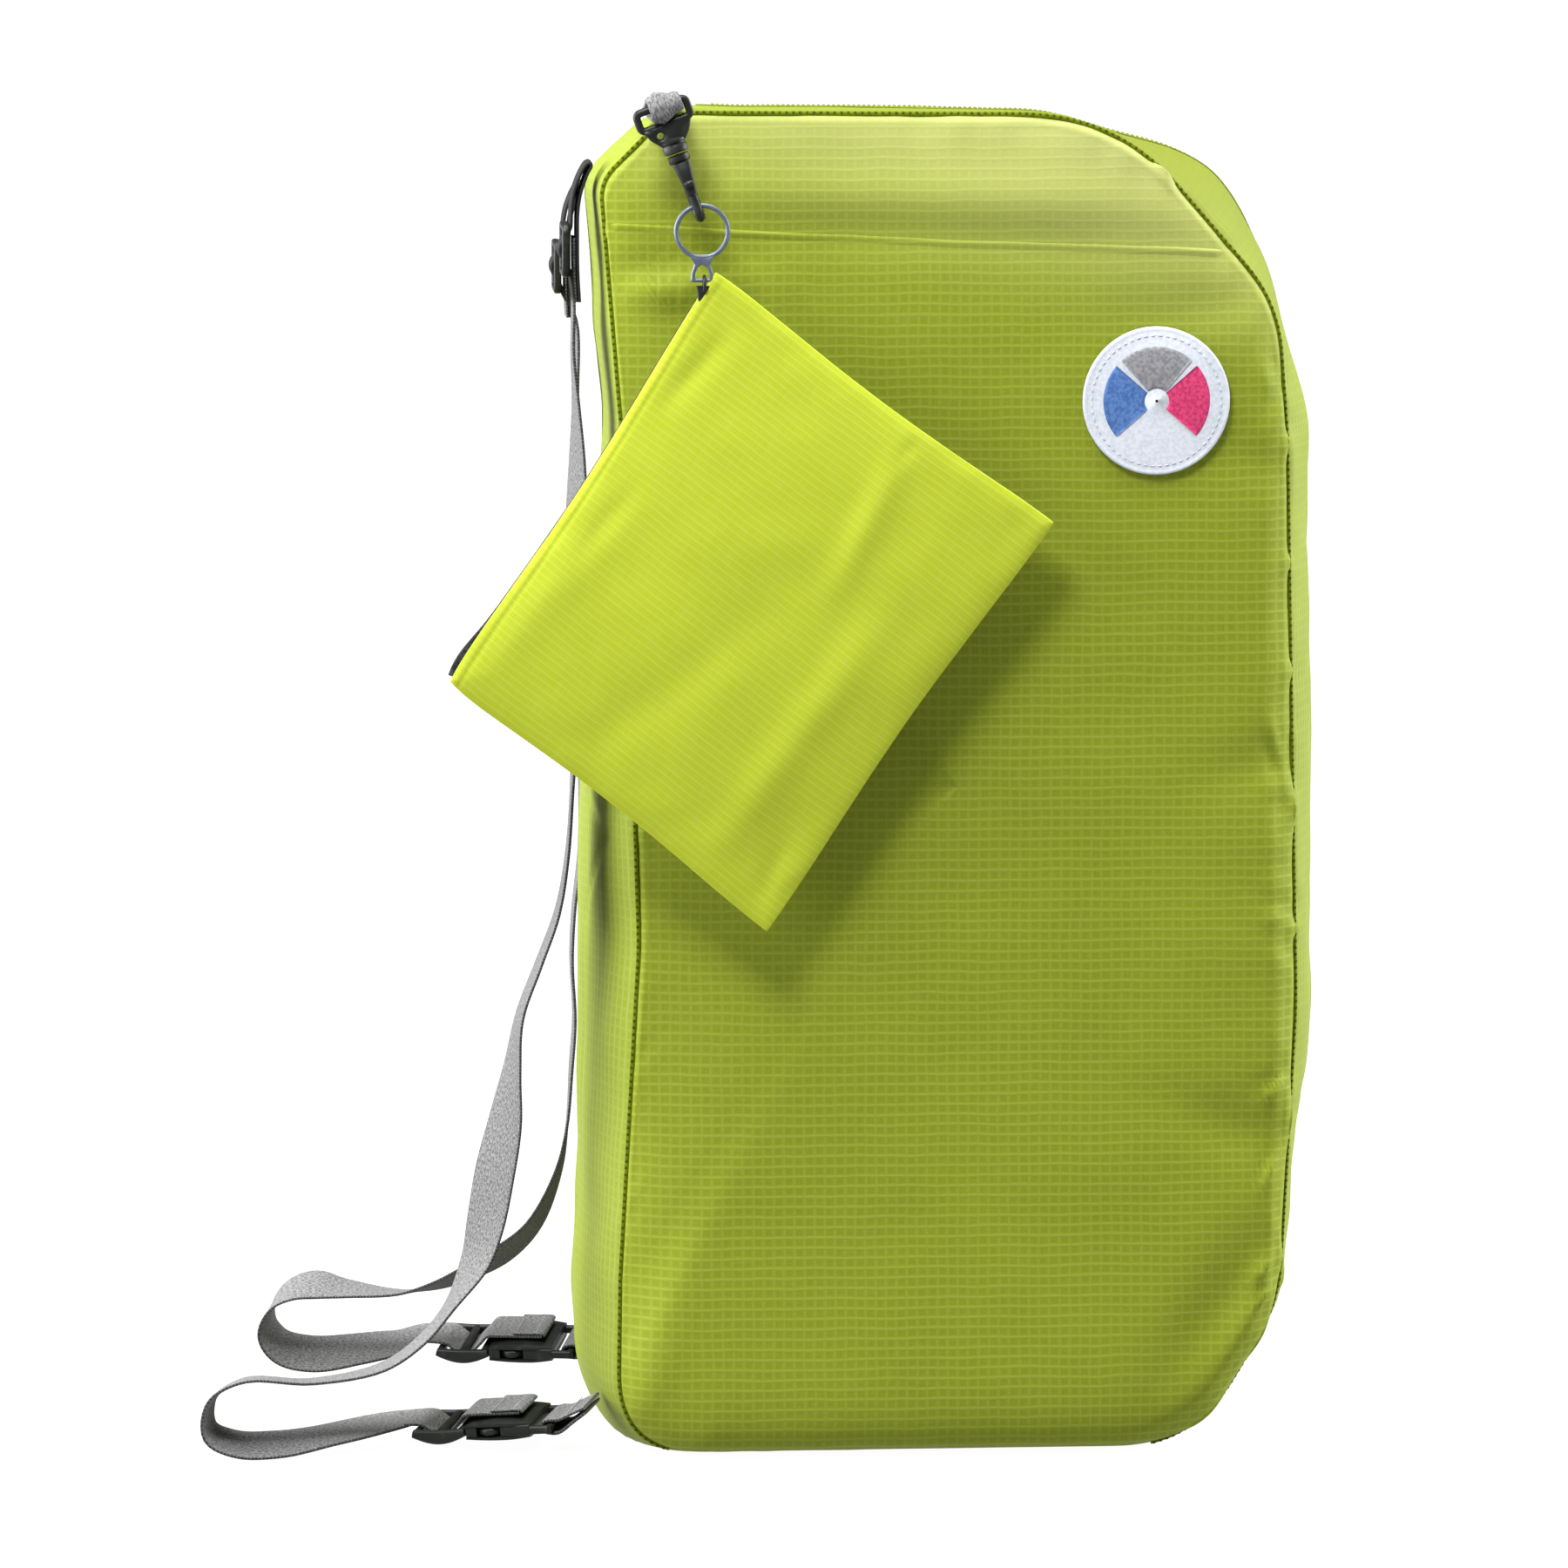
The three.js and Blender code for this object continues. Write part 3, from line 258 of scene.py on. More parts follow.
# Webbing through the ladder lock: along the buckle from its outer end, and up from its middle
LADDER_THREAD = np.array([
    (-7, 2.1), (1, 2.25), (3, 1.75), (5.2, 0), (7.4, -1.75), (9.2, -2.25), (11, -1.75), (13, 0.2),
    (15.2, 2.4), (17.6, 4.8), (21, 5.1), (29, 5.1), (37, 5.2),
])
TAB_LOOP = np.array([(50, 2.2), (46.8, 2.25), (44.9, 1.6)])
TAB_TURN = np.array([(43.9, 0)])
TAB_SPLIT = 0.95  # half the distance between the tab's two layers where it meets the bag
# Hem of a strap's tail on the buckle, and its lines of stitches: along, up
HEM_WIDTH = WEB_WIDTH - 0.3
HEM_ROUTE = np.array([(27, 6.1), (31, 6.1), (36.6, 6.15), (37.6, 5.8), (37.8, 5.2)])
HEM_LINES = ((28, 6.55), (34.8, 6.55))
# Slider's frame: its extent along and across, and the radius of its corners; ribs on its middle bar
SLIDER_LOOP = (-7.6, 7.6, -11.9, 11.9, 2.0)
SLIDER_RIBS = (-0.7, 0, 0.7)
# Buckle halves, along the buckle from its outer end. Cross bars: along, up, width, thickness
BUCKLE_HALF = 12.4
LADDER_LONG = 18.2
LADDER_BOW = 1.5
LADDER_BARS = ((1.2, 0, 2.6, 2.5), (9.2, -0.1, 2.8, 2.4), (17, 0, 3.0, 3.2))
PRONG_SPAN = (17.5, 35)
PRONG_LOBE = 26.8  # where a prong's release lobe is, how long it is, and how far it stands out
LOBE_LONG = 3.4
LOBE_OUT = 4.4
CATCH_SPAN = (18.8, 41)
CATCH_HALF = 14.0
CATCH_WALL = 1.85  # height of a wall's inner face, of its outer face at the ends, and of its crown
CATCH_EDGE = 1.95
CATCH_CROWN = 2.1
CATCH_POSTS = ((18.9, 22.6), (31, 41))
CATCH_RAIL = (40, 47.4)
# Buckles: outer end, swing towards the front, rise towards the bag and roll of the far edge upwards in
# degrees, and where the tab meets the bag (along, up)
BUCKLES = {
    "near": {"at": (-177, -38, 5.3), "swing": 18, "rise": 5, "roll": 4, "tab": (59.5, 5)},
    "far": {"at": (-168, 58, 14.2), "swing": 14, "rise": 1, "roll": 9, "tab": (52, 0.6)},
}

# Hook, ring and pouch
HOOK_AT = (-93.3, -90, 434.6)
HOOK_TILT = -20.0
HOOK_BEND = 4.5
HOOK_DROP = 17.5
LOOP_BAR = 16.3  # height of the eye's top bar over the swivel
LOOP_SHIFT = 1.6  # the webbing is gathered towards the right of the eye
# Webbing round that bar: backwards from it, and up
LOOP_ROUTE = np.array([
    (40, -1.0), (26, -0.5), (12, 1.2), (3, 2.5), (-2.2, 2.3), (-4.2, -0.4), (-2.8, -3.2), (3, -3.6),
    (12, -3.4), (26, -3.0), (40, -2.6),
])
# The hook's eye: the plate's outline and small hole, and the frame's extent and corner radius (across, up)
EYE_BELL = np.array([(-3.9, 3.4), (3.9, 3.4), (6.6, 6.6), (8.6, 10.6), (-8.6, 10.6), (-6.6, 6.6)])
EYE_HOLE = np.array((-3.2, 7.2))
EYE_HOLE_RADIUS = 1.15
EYE_LOOP = (-8.5, 8.5, 10.2, LOOP_BAR, 1.6)
# The hook's turned parts: radius, height
EYE_BARREL = np.array([
    (3.3, 0.35), (4.0, 0.7), (4.1, 2.6), (3.7, 3.1), (3.7, 3.6), (4.3, 3.9), (4.3, 4.6), (3.2, 5.2),
])
HOOK_COLLAR = np.array([(2.4, -3.1), (3.4, -2.8), (3.7, -2.2), (3.5, -1.2), (3.5, -0.5), (2.8, -0.35)])
HOOK_ROD = 1.85
# The hook's sprung lever, and the thumb bump on that: place, and length, width and thickness
GATE_ROUTE = np.array([(0, -3.5, -3.3), (0, -4.3, -6), (0, -4.6, -9.5), (0, -HOOK_BEND, -13.7)])
THUMB_AT = np.array([(0, -6.2, -10.2)])
THUMB_SIZE = (3.4, 2.6, 2.2)
RING_AT = (-85.3, -90, 409.4)
RING_RADIUS = 8.4
RING_WIRE = 1.6
# The ring's flat tail: its middle, its arched hole and its outline (across, up from the ring's middle)
TAIL_MIDDLE = np.array((0, -13.0))
TAIL_HOLE = np.array([
    (-2.4, -15.2), (2.4, -15.2), (2.3, -13.6), (1.5, -11.6), (0, -10.7), (-1.5, -11.6), (-2.3, -13.6),
])
TAIL_OUTLINE = np.array([
    (-3.8, -16.4), (3.8, -16.4), (3.5, -13.2), (2.6, -10.6), (3.0, -9.2), (4.6, -7.4), (-4.6, -7.4),
    (-3.0, -9.2), (-2.6, -10.6), (-3.5, -13.2),
])
POUCH_SLIDER_AT = (-84.6, -90, 387.6)
POUCH_Y = -90.0
POUCH_LEFT = np.array((-169.6, 262.8))
POUCH_TOP = np.array((-81.0, 397.4))
POUCH_RIGHT = np.array((30.1, 314.2))
POUCH_BOTTOM = np.array((-64.3, 179.3))
POUCH_LONG = 156.0
POUCH_WIDE = 136.0
POUCH_PULL = 2.5
POUCH_PUFF = {-1: 4.4, 1: 3.6}  # of its front and of its back
POUCH_SEWN = 3.6  # its hem is sewn this far from the zip's edge
POUCH_HEM = ((0.2, 1.6, 1.3), (-0.22, POUCH_SEWN, 0.8))  # ridge and sewn line: height, place, width
# Folds of the pouch's front: x, z, turn from +X in degrees, half length, half width, height outwards
POUCH_FOLDS = np.array([
    (-55, 243, 54.6, 50, 7, 1.5),
    (-31, 315, 64, 24, 5, 1.4),
    (-16, 341, 52, 8, 2.0, -0.9),
    (-87, 365, 48, 14, 4, -0.9),
    (-117, 315, 50, 15, 4, -0.8),
    (-96, 262, 38, 46, 9, -0.8),
    (-64, 196, 70, 18, 5, -0.8),
    (-128, 300, 50, 40, 7, 0.7),
], float)

# Studio, in metres. Lights: name, place, aim, size, power in watts
LIGHTS = [
    ("key", (-0.36, -0.64, 1.14), (0, 0, 0.35), (0.26, 0.26), 19),
    ("left_side", (-1.7, 0.1, 0.75), (0, 0, 0.22), (2.4, 1.4), 128),
    ("right_side", (1.6, 0.25, 0.75), (0, 0, 0.25), (1.6, 1.4), 92),
]
SKY_OVERHEAD = 15.0
SKY_ROUND = 0.05
# The floor glows less far in front of the bag than round it: y from and to, least and added glow
FLOOR_FROM = -1.9
FLOOR_TO = -0.25
FLOOR_LEAST = 0.37
FLOOR_ADDED = 0.6
FLOOR_AT = -0.0004
CAMERA_BEARING = math.radians(-3.7)
CAMERA_HEIGHT = math.radians(7.56)
CAMERA_AWAY = 2.5
CAMERA_AIM = (-0.0571, -0.065, 0.2253)
CAMERA_LENS = 173.6


# Grids and meshes

def unit(vectors):
    """Vectors scaled to length one."""
    return vectors / np.maximum(np.linalg.norm(vectors, axis=-1, keepdims=True), 1e-9)


def stacked(*parts):
    """Arrays and numbers, spread to one shape, as the columns of a new last axis."""
    return np.stack(np.broadcast_arrays(*parts), -1)


def sampled(places, run, values):
    """Rows of values at the given places between the distances of a run."""
    return stacked(*(np.interp(places, run, column) for column in values.T))


def eased(share):
    """Smooth step from 0 to 1: three times the square less twice the cube."""
    share = np.clip(share, 0, 1)
    return share * share * (3 - 2 * share)


def soft_noise(x, z, size, seed):
    """Heights from -1 to 1 drawn on a square lattice of the given size, eased between its points."""
    lattice = np.random.default_rng(seed).uniform(-1, 1, (128, 128))
    column, row = np.floor(x / size).astype(int), np.floor(z / size).astype(int)
    across, up = eased(x / size - column), eased(z / size - row)

    def at(i, j):
        return lattice[(column + i) % 128, (row + j) % 128]

    low = at(0, 0) * (1 - across) + at(1, 0) * across
    high = at(0, 1) * (1 - across) + at(1, 1) * across
    return low * (1 - up) + high * up


def layered_noise(x, z, layers, seed):
    """Sum of soft noise: each layer has a height, a lattice size and a step of the seed."""
    return sum(height * soft_noise(x, z, size, seed + step) for height, size, step in layers)


def hump(place):
    """Bell curve: the exponential of less the square, one at 0 and almost nothing past 2."""
    return np.exp(-(place**2))


def patch(points, wrap_rows=False, wrap_columns=False, uv=None, flip=False):
    """Quads between neighbours of a grid of points; a grid that wraps has one more row or column of uv."""
    rows, columns = points.shape[:2]
    i = np.arange(rows if wrap_rows else rows - 1)[:, None]
    j = np.arange(columns if wrap_columns else columns - 1)[None, :]
    steps = [(0, 0), (1, 0), (1, 1), (0, 1)]
    if flip:
        steps.reverse()
    quads = np.stack([(i + a) % rows * columns + (j + b) % columns for a, b in steps], -1).reshape(-1, 4)
    if uv is None:
        corner_uv = np.zeros((len(quads) * 4, 2))
    else:
        wide = uv.shape[1]
        places = np.stack([(i + a) * wide + (j + b) for a, b in steps], -1).reshape(-1)
        corner_uv = uv.reshape(-1, 2)[places]
    return {"points": points.reshape(-1, 3), "faces": [quads], "uv": corner_uv}


def join(*parts):
    """Several shapes as one, their points numbered on from each other."""
    starts = np.cumsum([0] + [len(part["points"]) for part in parts[:-1]])
    return {
        "points": np.concatenate([part["points"] for part in parts]),
        "faces": [faces + start for part, start in zip(parts, starts) for faces in part["faces"]],
        "uv": np.concatenate([part["uv"] for part in parts]),
    }


def capped(part, *loops):
    """The shape with each loop of points closed by one face."""
    faces = part["faces"] + [np.asarray(loop)[None, :] for loop in loops]
    blank = np.zeros((sum(len(loop) for loop in loops), 2))
    return {"points": part["points"], "faces": faces, "uv": np.concatenate([part["uv"], blank])}


def closed_ends(part, rows, sides, flip=False):
    """A tube of the given rows and sides with its first and last loop closed."""
    loops = [np.arange(sides), np.arange(sides)[::-1] + (rows - 1) * sides]
    return capped(part, *(loop[::-1] if flip else loop for loop in loops))


def smooth_path(points, steps):
    """Centripetal Catmull-Rom curve through points of any width, with the given steps in each stretch."""
    ends = (2 * points[:1] - points[1:2], 2 * points[-1:] - points[-2:-1])
    run = np.concatenate([ends[0], points, ends[1]])
    p0, p1, p2, p3 = run[:-3], run[1:-2], run[2:-1], run[3:]
    gap = np.sqrt(np.linalg.norm(np.diff(run[:, :3], axis=0), axis=1))[:, None]
    d0, d1, d2 = gap[:-2], gap[1:-1], gap[2:]
    leave = d1 * ((p1 - p0) / d0 - (p2 - p0) / (d0 + d1) + (p2 - p1) / d1)
    arrive = d1 * ((p2 - p1) / d1 - (p3 - p1) / (d1 + d2) + (p3 - p2) / d2)
    t = (np.arange(steps) / steps)[None, :, None]
    p1, p2, leave, arrive = (a[:, None, :] for a in (p1, p2, leave, arrive))
    curve = (
        (2 * t**3 - 3 * t**2 + 1) * p1 + (t**3 - 2 * t**2 + t) * leave
        + (3 * t**2 - 2 * t**3) * p2 + (t**3 - t**2) * arrive
    )
    return np.concatenate([curve.reshape(-1, points.shape[1]), points[-1:]])


def lengths_along(path):
    """Distance from the start at each point of a path."""
    return np.concatenate([[0], np.cumsum(np.linalg.norm(np.diff(path, axis=0), axis=1))])


def frames(path, hint, turn=0.0, closed=False):
    """Across and face directions of a path: the hint made square to the path and turned about it, and their
    product."""
    if closed:
        along = unit(np.roll(path, -1, 0) - np.roll(path, 1, 0))
    else:
        along = unit(np.gradient(path, axis=0))
    hint = np.broadcast_to(np.asarray(hint, float), path.shape)
    across = unit(hint - np.sum(hint * along, -1, keepdims=True) * along)
    angle = -np.radians(np.broadcast_to(turn, path.shape[:1]))[:, None]
    across = across * np.cos(angle) + np.cross(along, across) * np.sin(angle)
    return across, np.cross(along, across)


def rounded_section(wide, thick, power, count):
    """Superellipse of the given width and thickness: higher powers are squarer."""
    angle = 2 * np.pi * np.arange(count) / count
    c, s = np.cos(angle), np.sin(angle)
    bend = 2 / power
    return stacked(wide / 2 * np.sign(c) * np.abs(c) ** bend, thick / 2 * np.sign(s) * np.abs(s) ** bend)


def sweep(path, hint, section, scale=1.0, turn=0.0, closed=False):
    """A closed section carried along a path: path + across * first + face * second, scaled at each station.
    The uv is the distance round the section and along the path."""
    across, face = frames(path, hint, turn, closed)
    scale = np.broadcast_to(scale, (len(path), 2))
    first = section[None, :, 0] * scale[:, :1]
    second = section[None, :, 1] * scale[:, 1:]
    points = path[:, None] + across[:, None] * first[..., None] + face[:, None] * second[..., None]
    rows, sides = points.shape[:2]
    side_at = np.append(section[:, 0], section[0, 0])
    run = lengths_along(np.concatenate([path, path[:1]]) if closed else path)
    uv = stacked(side_at[None, :], run[:, None])
    part = patch(points, closed, True, uv, flip=True)
    return part if closed else closed_ends(part, rows, sides)


def tube(path, hint, radius, sides=12, scale=1.0, closed=False):
    """A round rod along a path."""
    return sweep(path, hint, rounded_section(2 * radius, 2 * radius, 2, sides), scale, 0.0, closed)


def lathe(profile, sides=24):
    """Profile rows of radius and height turned about the Z axis, closed by a face at each end."""
    angle = 2 * np.pi * np.arange(sides) / sides
    radius, height = profile[:, :1], profile[:, 1:]
    points = stacked(radius * np.cos(angle), radius * np.sin(angle), height)
    return closed_ends(patch(points, False, True, flip=True), len(profile), sides)


def ring_plate(inner, outer, thick, bevel):
    """A plate in X and Z between an inner and an outer loop, with bevelled edges: the section runs from the
    hole's edge to the outline on one face and back on the other, and is carried round the loops."""
    span = unit(outer - inner) * bevel
    stops = [inner, inner + span, outer - span, outer, outer, outer - span, inner + span, inner]
    half = thick / 2
    heights = [-half + bevel, -half, -half, -half + bevel, half - bevel, half, half, half - bevel]
    points = np.stack([stacked(stop[:, 0], high, stop[:, 1]) for stop, high in zip(stops, heights)], 1)
    return patch(points, True, True)


def rounded_loop(x0, x1, z0, z1, radius, steps=6):
    """A rectangle with round corners, counter-clockwise from its lower right corner."""
    angle = np.linspace(0, np.pi / 2, steps)
    corners = [(x1 - radius, z0 + radius, -90), (x1 - radius, z1 - radius, 0),
               (x0 + radius, z1 - radius, 90), (x0 + radius, z0 + radius, 180)]
    return np.concatenate([
        stacked(x + radius * np.cos(angle + np.radians(a)), z + radius * np.sin(angle + np.radians(a)))
        for x, z, a in corners
    ])


def loop_seen_from(spot, outline, bearings):
    """Where rays from a spot at the given bearings first meet a closed outline."""
    ray = stacked(np.cos(bearings), np.sin(bearings))[:, None]
    start = outline[None] - spot
    side = np.roll(outline, -1, 0)[None] - outline[None]
    cross = ray[..., 0] * side[..., 1] - ray[..., 1] * side[..., 0]
    cross = np.where(np.abs(cross) < 1e-9, 1e-9, cross)
    far = (start[..., 0] * side[..., 1] - start[..., 1] * side[..., 0]) / cross
    place = (start[..., 0] * ray[..., 1] - start[..., 1] * ray[..., 0]) / cross
    hit = (far > 0) & (place >= -1e-6) & (place <= 1 + 1e-6)
    reach = np.where(hit, far, np.inf).min(1)
    return spot + ray[:, 0] * reach[:, None]


def beads(centres, along, face, long, wide, thick, sides=6):
    """Many small rounded bars: each an ellipsoid cut off near its ends, laid along its own direction."""
    across = np.cross(face, along)
    bow = np.linspace(0.18, 0.82, 4) * np.pi
    turn = 2 * np.pi * np.arange(sides) / sides
    lengthwise = along[:, None, None] * (-np.cos(bow) * long / 2)[None, :, None, None]
    girth = np.sin(bow)[None, :, None, None]
    sideways = across[:, None, None] * (np.cos(turn) * wide / 2)[None, None, :, None]
    upwards = face[:, None, None] * (np.sin(turn) * thick / 2)[None, None, :, None]
    points = centres[:, None, None] + lengthwise + girth * (sideways + upwards)
    count, rows = len(centres), len(bow)
    start = np.arange(count)[:, None, None] * rows * sides
    i = np.arange(rows - 1)[None, :, None] * sides
    j = np.arange(sides)[None, None, :]
    k = (j + 1) % sides
    quads = stacked(start + i + j, start + i + k, start + i + sides + k, start + i + sides + j)
    first = start[:, 0] + np.arange(sides)[None, ::-1]
    last = start[:, 0] + (rows - 1) * sides + np.arange(sides)[None]
    faces = [quads.reshape(-1, 4), first, last]
    return {
        "points": points.reshape(-1, 3),
        "faces": faces,
        "uv": np.zeros((sum(f.size for f in faces), 2)),
    }


def stitches(path, face, pitch, long, thick):
    """Thread dashes along a path, one every pitch, standing half out of the cloth."""
    run = lengths_along(path)
    places = np.arange(pitch / 2, run[-1], pitch)
    centres = sampled(places, run, path)
    ahead = sampled(places + 0.3, run, path)
    behind = sampled(places - 0.3, run, path)
    face = np.broadcast_to(np.asarray(face, float), path.shape)
    up = sampled(places, run, face)
    along = unit(ahead - behind)
    up = unit(up - np.sum(up * along, -1, keepdims=True) * along)
    return beads(centres, along, up, long, thick, thick)


def turned(part, degrees, place):
    """The shape turned about Y, then moved."""
    c, s = math.cos(math.radians(degrees)), math.sin(math.radians(degrees))
    x, y, z = part["points"].T
    points = stacked(x * c + z * s, y, z * c - x * s) + np.asarray(place, float)
    return {**part, "points": points}


def make_piece(name, part, material, body, replaced=(), sharp=None, wall=None):
    """A mesh object from a shape: corners and uv set as whole arrays, riding on its body.
    Sharp gives the angle over which an edge stays crisp, and wall the thickness of cloth behind its face."""
    mesh = bpy.data.meshes.new(name)
    corners = np.concatenate([faces.reshape(-1) for faces in part["faces"]])
    sizes = np.concatenate([np.full(len(faces), faces.shape[1]) for faces in part["faces"]])
    mesh.vertices.add(len(part["points"]))
    mesh.vertices.foreach_set("co", (part["points"] * MM).astype(np.float32).ravel())
    mesh.loops.add(len(corners))
    mesh.loops.foreach_set("vertex_index", corners.astype(np.int32))
    mesh.polygons.add(len(sizes))
    mesh.polygons.foreach_set("loop_start", np.concatenate([[0], np.cumsum(sizes)[:-1]]).astype(np.int32))
    mesh.uv_layers.new(name="weave").data.foreach_set("uv", part["uv"].astype(np.float32).ravel())
    mesh.update(calc_edges=True)
    mesh.polygons.foreach_set("use_smooth", np.ones(len(sizes), bool))
    if sharp:
        mesh.set_sharp_from_angle(angle=math.radians(sharp))
    mesh.materials.append(material)
    piece = bpy.data.objects.new(name, mesh)
    bpy.context.scene.collection.objects.link(piece)
    if wall:
        cloth = piece.modifiers.new("cloth", "SOLIDIFY")
        cloth.thickness = wall * MM
        cloth.offset = -1
    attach(piece, body)
    if replaced:
        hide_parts(*replaced)
    return piece


# Materials

def new_finish(name, roughness, **sockets):
    """A material and its node tree, with plain numbers set on the shader's own sockets."""
    material = bpy.data.materials.new(name)
    material.use_nodes = True
    shader = material.node_tree.nodes["Principled BSDF"]
    shader.inputs["Roughness"].default_value = roughness
    for socket, value in sockets.items():
        shader.inputs[socket.replace("_", " ")].default_value = value
    return material, material.node_tree, shader


def calc(tree, operation, *operands):
    """A Math node over sockets and numbers."""
    node = tree.nodes.new("ShaderNodeMath")
    node.operation = operation
    for socket, operand in zip(node.inputs, operands):
        if isinstance(operand, (int, float)):
            socket.default_value = operand
        else:
            tree.links.new(operand, socket)
    return node.outputs[0]


def ramp(tree, value, low, high):
    """0 below low and 1 above high, eased between."""
    node = tree.nodes.new("ShaderNodeMapRange")
    node.interpolation_type = "SMOOTHSTEP"
    node.inputs["From Min"].default_value = low
    node.inputs["From Max"].default_value = high
    tree.links.new(value, node.inputs["Value"])
    return node.outputs["Result"]


def mixed(tree, share, first, second):
    """Two colours, or sockets that carry them, mixed by a share."""
    node = tree.nodes.new("ShaderNodeMix")
    node.data_type = "RGBA"
    tree.links.new(share, node.inputs[0])
    for socket, colour in ((node.inputs[6], first), (node.inputs[7], second)):
        if isinstance(colour, tuple):
            socket.default_value = (*colour, 1)
        else:
            tree.links.new(colour, socket)
    return node.outputs[2]


def noise(tree, vector, scale, detail=2.0, stretch=None):
    """Noise from about 0 to 1 over a coordinate, stretched along its axes if asked."""
    if stretch:
        mapping = tree.nodes.new("ShaderNodeMapping")
        mapping.inputs["Scale"].default_value = stretch
        tree.links.new(vector, mapping.inputs["Vector"])
        vector = mapping.outputs[0]
    node = tree.nodes.new("ShaderNodeTexNoise")
    node.inputs["Scale"].default_value = scale
    node.inputs["Detail"].default_value = detail
    tree.links.new(vector, node.inputs["Vector"])
    return node.outputs["Fac"]


def weave_place(tree):
    """The piece's own weave map in millimetres, and its two parts."""
    node = tree.nodes.new("ShaderNodeUVMap")
    node.uv_map = "weave"
    parts = tree.nodes.new("ShaderNodeSeparateXYZ")
    tree.links.new(node.outputs[0], parts.inputs[0])
    return node.outputs[0], parts.outputs[0], parts.outputs[1]


def object_place(tree):
    """Object coordinates, in metres in the frame of the part."""
    return tree.nodes.new("ShaderNodeTexCoord").outputs["Object"]


def emboss(tree, shader, height, depth_mm, strength=1.0):
    """Bump of the given depth on the shader's normal."""
    node = tree.nodes.new("ShaderNodeBump")
    node.inputs["Strength"].default_value = strength
    node.inputs["Distance"].default_value = depth_mm * MM
    tree.links.new(height, node.inputs["Height"])
    tree.links.new(node.outputs[0], shader.inputs["Normal"])


def ripstop(name, cloth, ridge, shade, pitch, lines_up, lines_across, contrast, painted_top=None):
    """Ripstop nylon: a lighter raised thread every pitch both ways, threads that vary along their length,
    slow change of tone over the panel, and if asked painted light towards the top of the bag, mixed in by
    height."""
    material, tree, shader = new_finish(name, 0.6, Specular_IOR_Level=0.05)
    place, u, v = weave_place(tree)
    wander = calc(tree, "MULTIPLY", calc(tree, "SUBTRACT", noise(tree, place, 0.05), 0.5), 0.5)
    lines = []
    for part, weight in ((u, lines_up), (v, lines_across)):
        cell = calc(tree, "FRACT", calc(tree, "ADD", calc(tree, "DIVIDE", part, pitch), wander))
        off = calc(tree, "ABSOLUTE", calc(tree, "SUBTRACT", cell, 0.5))
        lines.append(calc(tree, "MULTIPLY", ramp(tree, off, 0.22, 0.5), weight))
    grid = calc(tree, "MAXIMUM", *lines)
    warp = noise(tree, place, 1.0, 2.0, (2.2, 0.12, 1))
    weft = noise(tree, place, 1.0, 2.0, (0.12, 2.2, 1))
    threads = calc(tree, "ADD", warp, weft)
    tone = ramp(tree, noise(tree, place, 0.018, 3.0), 0.3, 0.7)
    ground = mixed(tree, tone, shade, cloth)
    ground = mixed(tree, calc(tree, "MULTIPLY", ramp(tree, threads, 0.7, 1.4), 0.25), ground, ridge)
    share = calc(tree, "MULTIPLY", grid, contrast)
    colour = mixed(tree, share, ground, ridge)
    # Painted light: higher up the bag, sooner on its right, the colour is mixed towards the given tone, a
    # pale painted highlight on the wide panels and a painted shade on the narrow side.
    if painted_top:
        parts = tree.nodes.new("ShaderNodeSeparateXYZ")
        tree.links.new(object_place(tree), parts.inputs[0])
        level = calc(tree, "ADD", parts.outputs[2], calc(tree, "MULTIPLY", parts.outputs[0], PAINTED_TOP_LEAN))
        fade = calc(tree, "MULTIPLY", ramp(tree, level, PAINTED_TOP_FROM * MM, PAINTED_TOP_TO * MM), PAINTED_TOP_SHARE)
        colour = mixed(tree, fade, colour, painted_top)
    tree.links.new(colour, shader.inputs["Base Color"])
    height = calc(tree, "ADD", calc(tree, "MULTIPLY", grid, 0.8), calc(tree, "MULTIPLY", threads, 0.15))
    emboss(tree, shader, height, 0.2, contrast * 0.6)
    return material


def webbing(name, dark_until=None):
    """Grey webbing: a heathered face with fine ribs, a dark edge line dotted by the ribs that is painted
    shade of the webbing's thickness, and a dark first stretch if asked."""
    material, tree, shader = new_finish(name, 0.82, Specular_IOR_Level=0.14)
    place, u, v = weave_place(tree)
    heather = noise(tree, place, 1.0, 3.0, (1.7, 0.9, 1))
    fleck = ramp(tree, heather, 0.36, 0.64)
    ribs = calc(tree, "SINE", calc(tree, "MULTIPLY", v, 2 * math.pi / 1.1))
    wales = calc(tree, "SINE", calc(tree, "MULTIPLY", u, 2 * math.pi / 1.25))
    colour = mixed(tree, fleck, (0.05, 0.05, 0.05), (0.128, 0.128, 0.13))
    # Painted shade: a dark band along each edge of the face, dotted by the ribs, stands in for the shaded
    # thickness of the webbing.
    edge = ramp(tree, calc(tree, "ABSOLUTE", u), WEB_WIDTH / 2 - 0.75, WEB_WIDTH / 2 - 0.25)
    dots = ramp(tree, ribs, -0.5, 0.6)
    dark = calc(tree, "MULTIPLY", edge, calc(tree, "ADD", calc(tree, "MULTIPLY", dots, 0.4), 0.5))
    if dark_until:
        start = calc(tree, "SUBTRACT", 1.0, ramp(tree, v, dark_until - 2, dark_until + 2))
        dark = calc(tree, "MAXIMUM", dark, start)
    tree.links.new(mixed(tree, dark, colour, (0.008, 0.008, 0.008)), shader.inputs["Base Color"])
    height = calc(tree, "ADD", calc(tree, "MULTIPLY", ribs, wales), calc(tree, "MULTIPLY", fleck, 0.3))
    emboss(tree, shader, height, 0.06, 0.5)
    return material


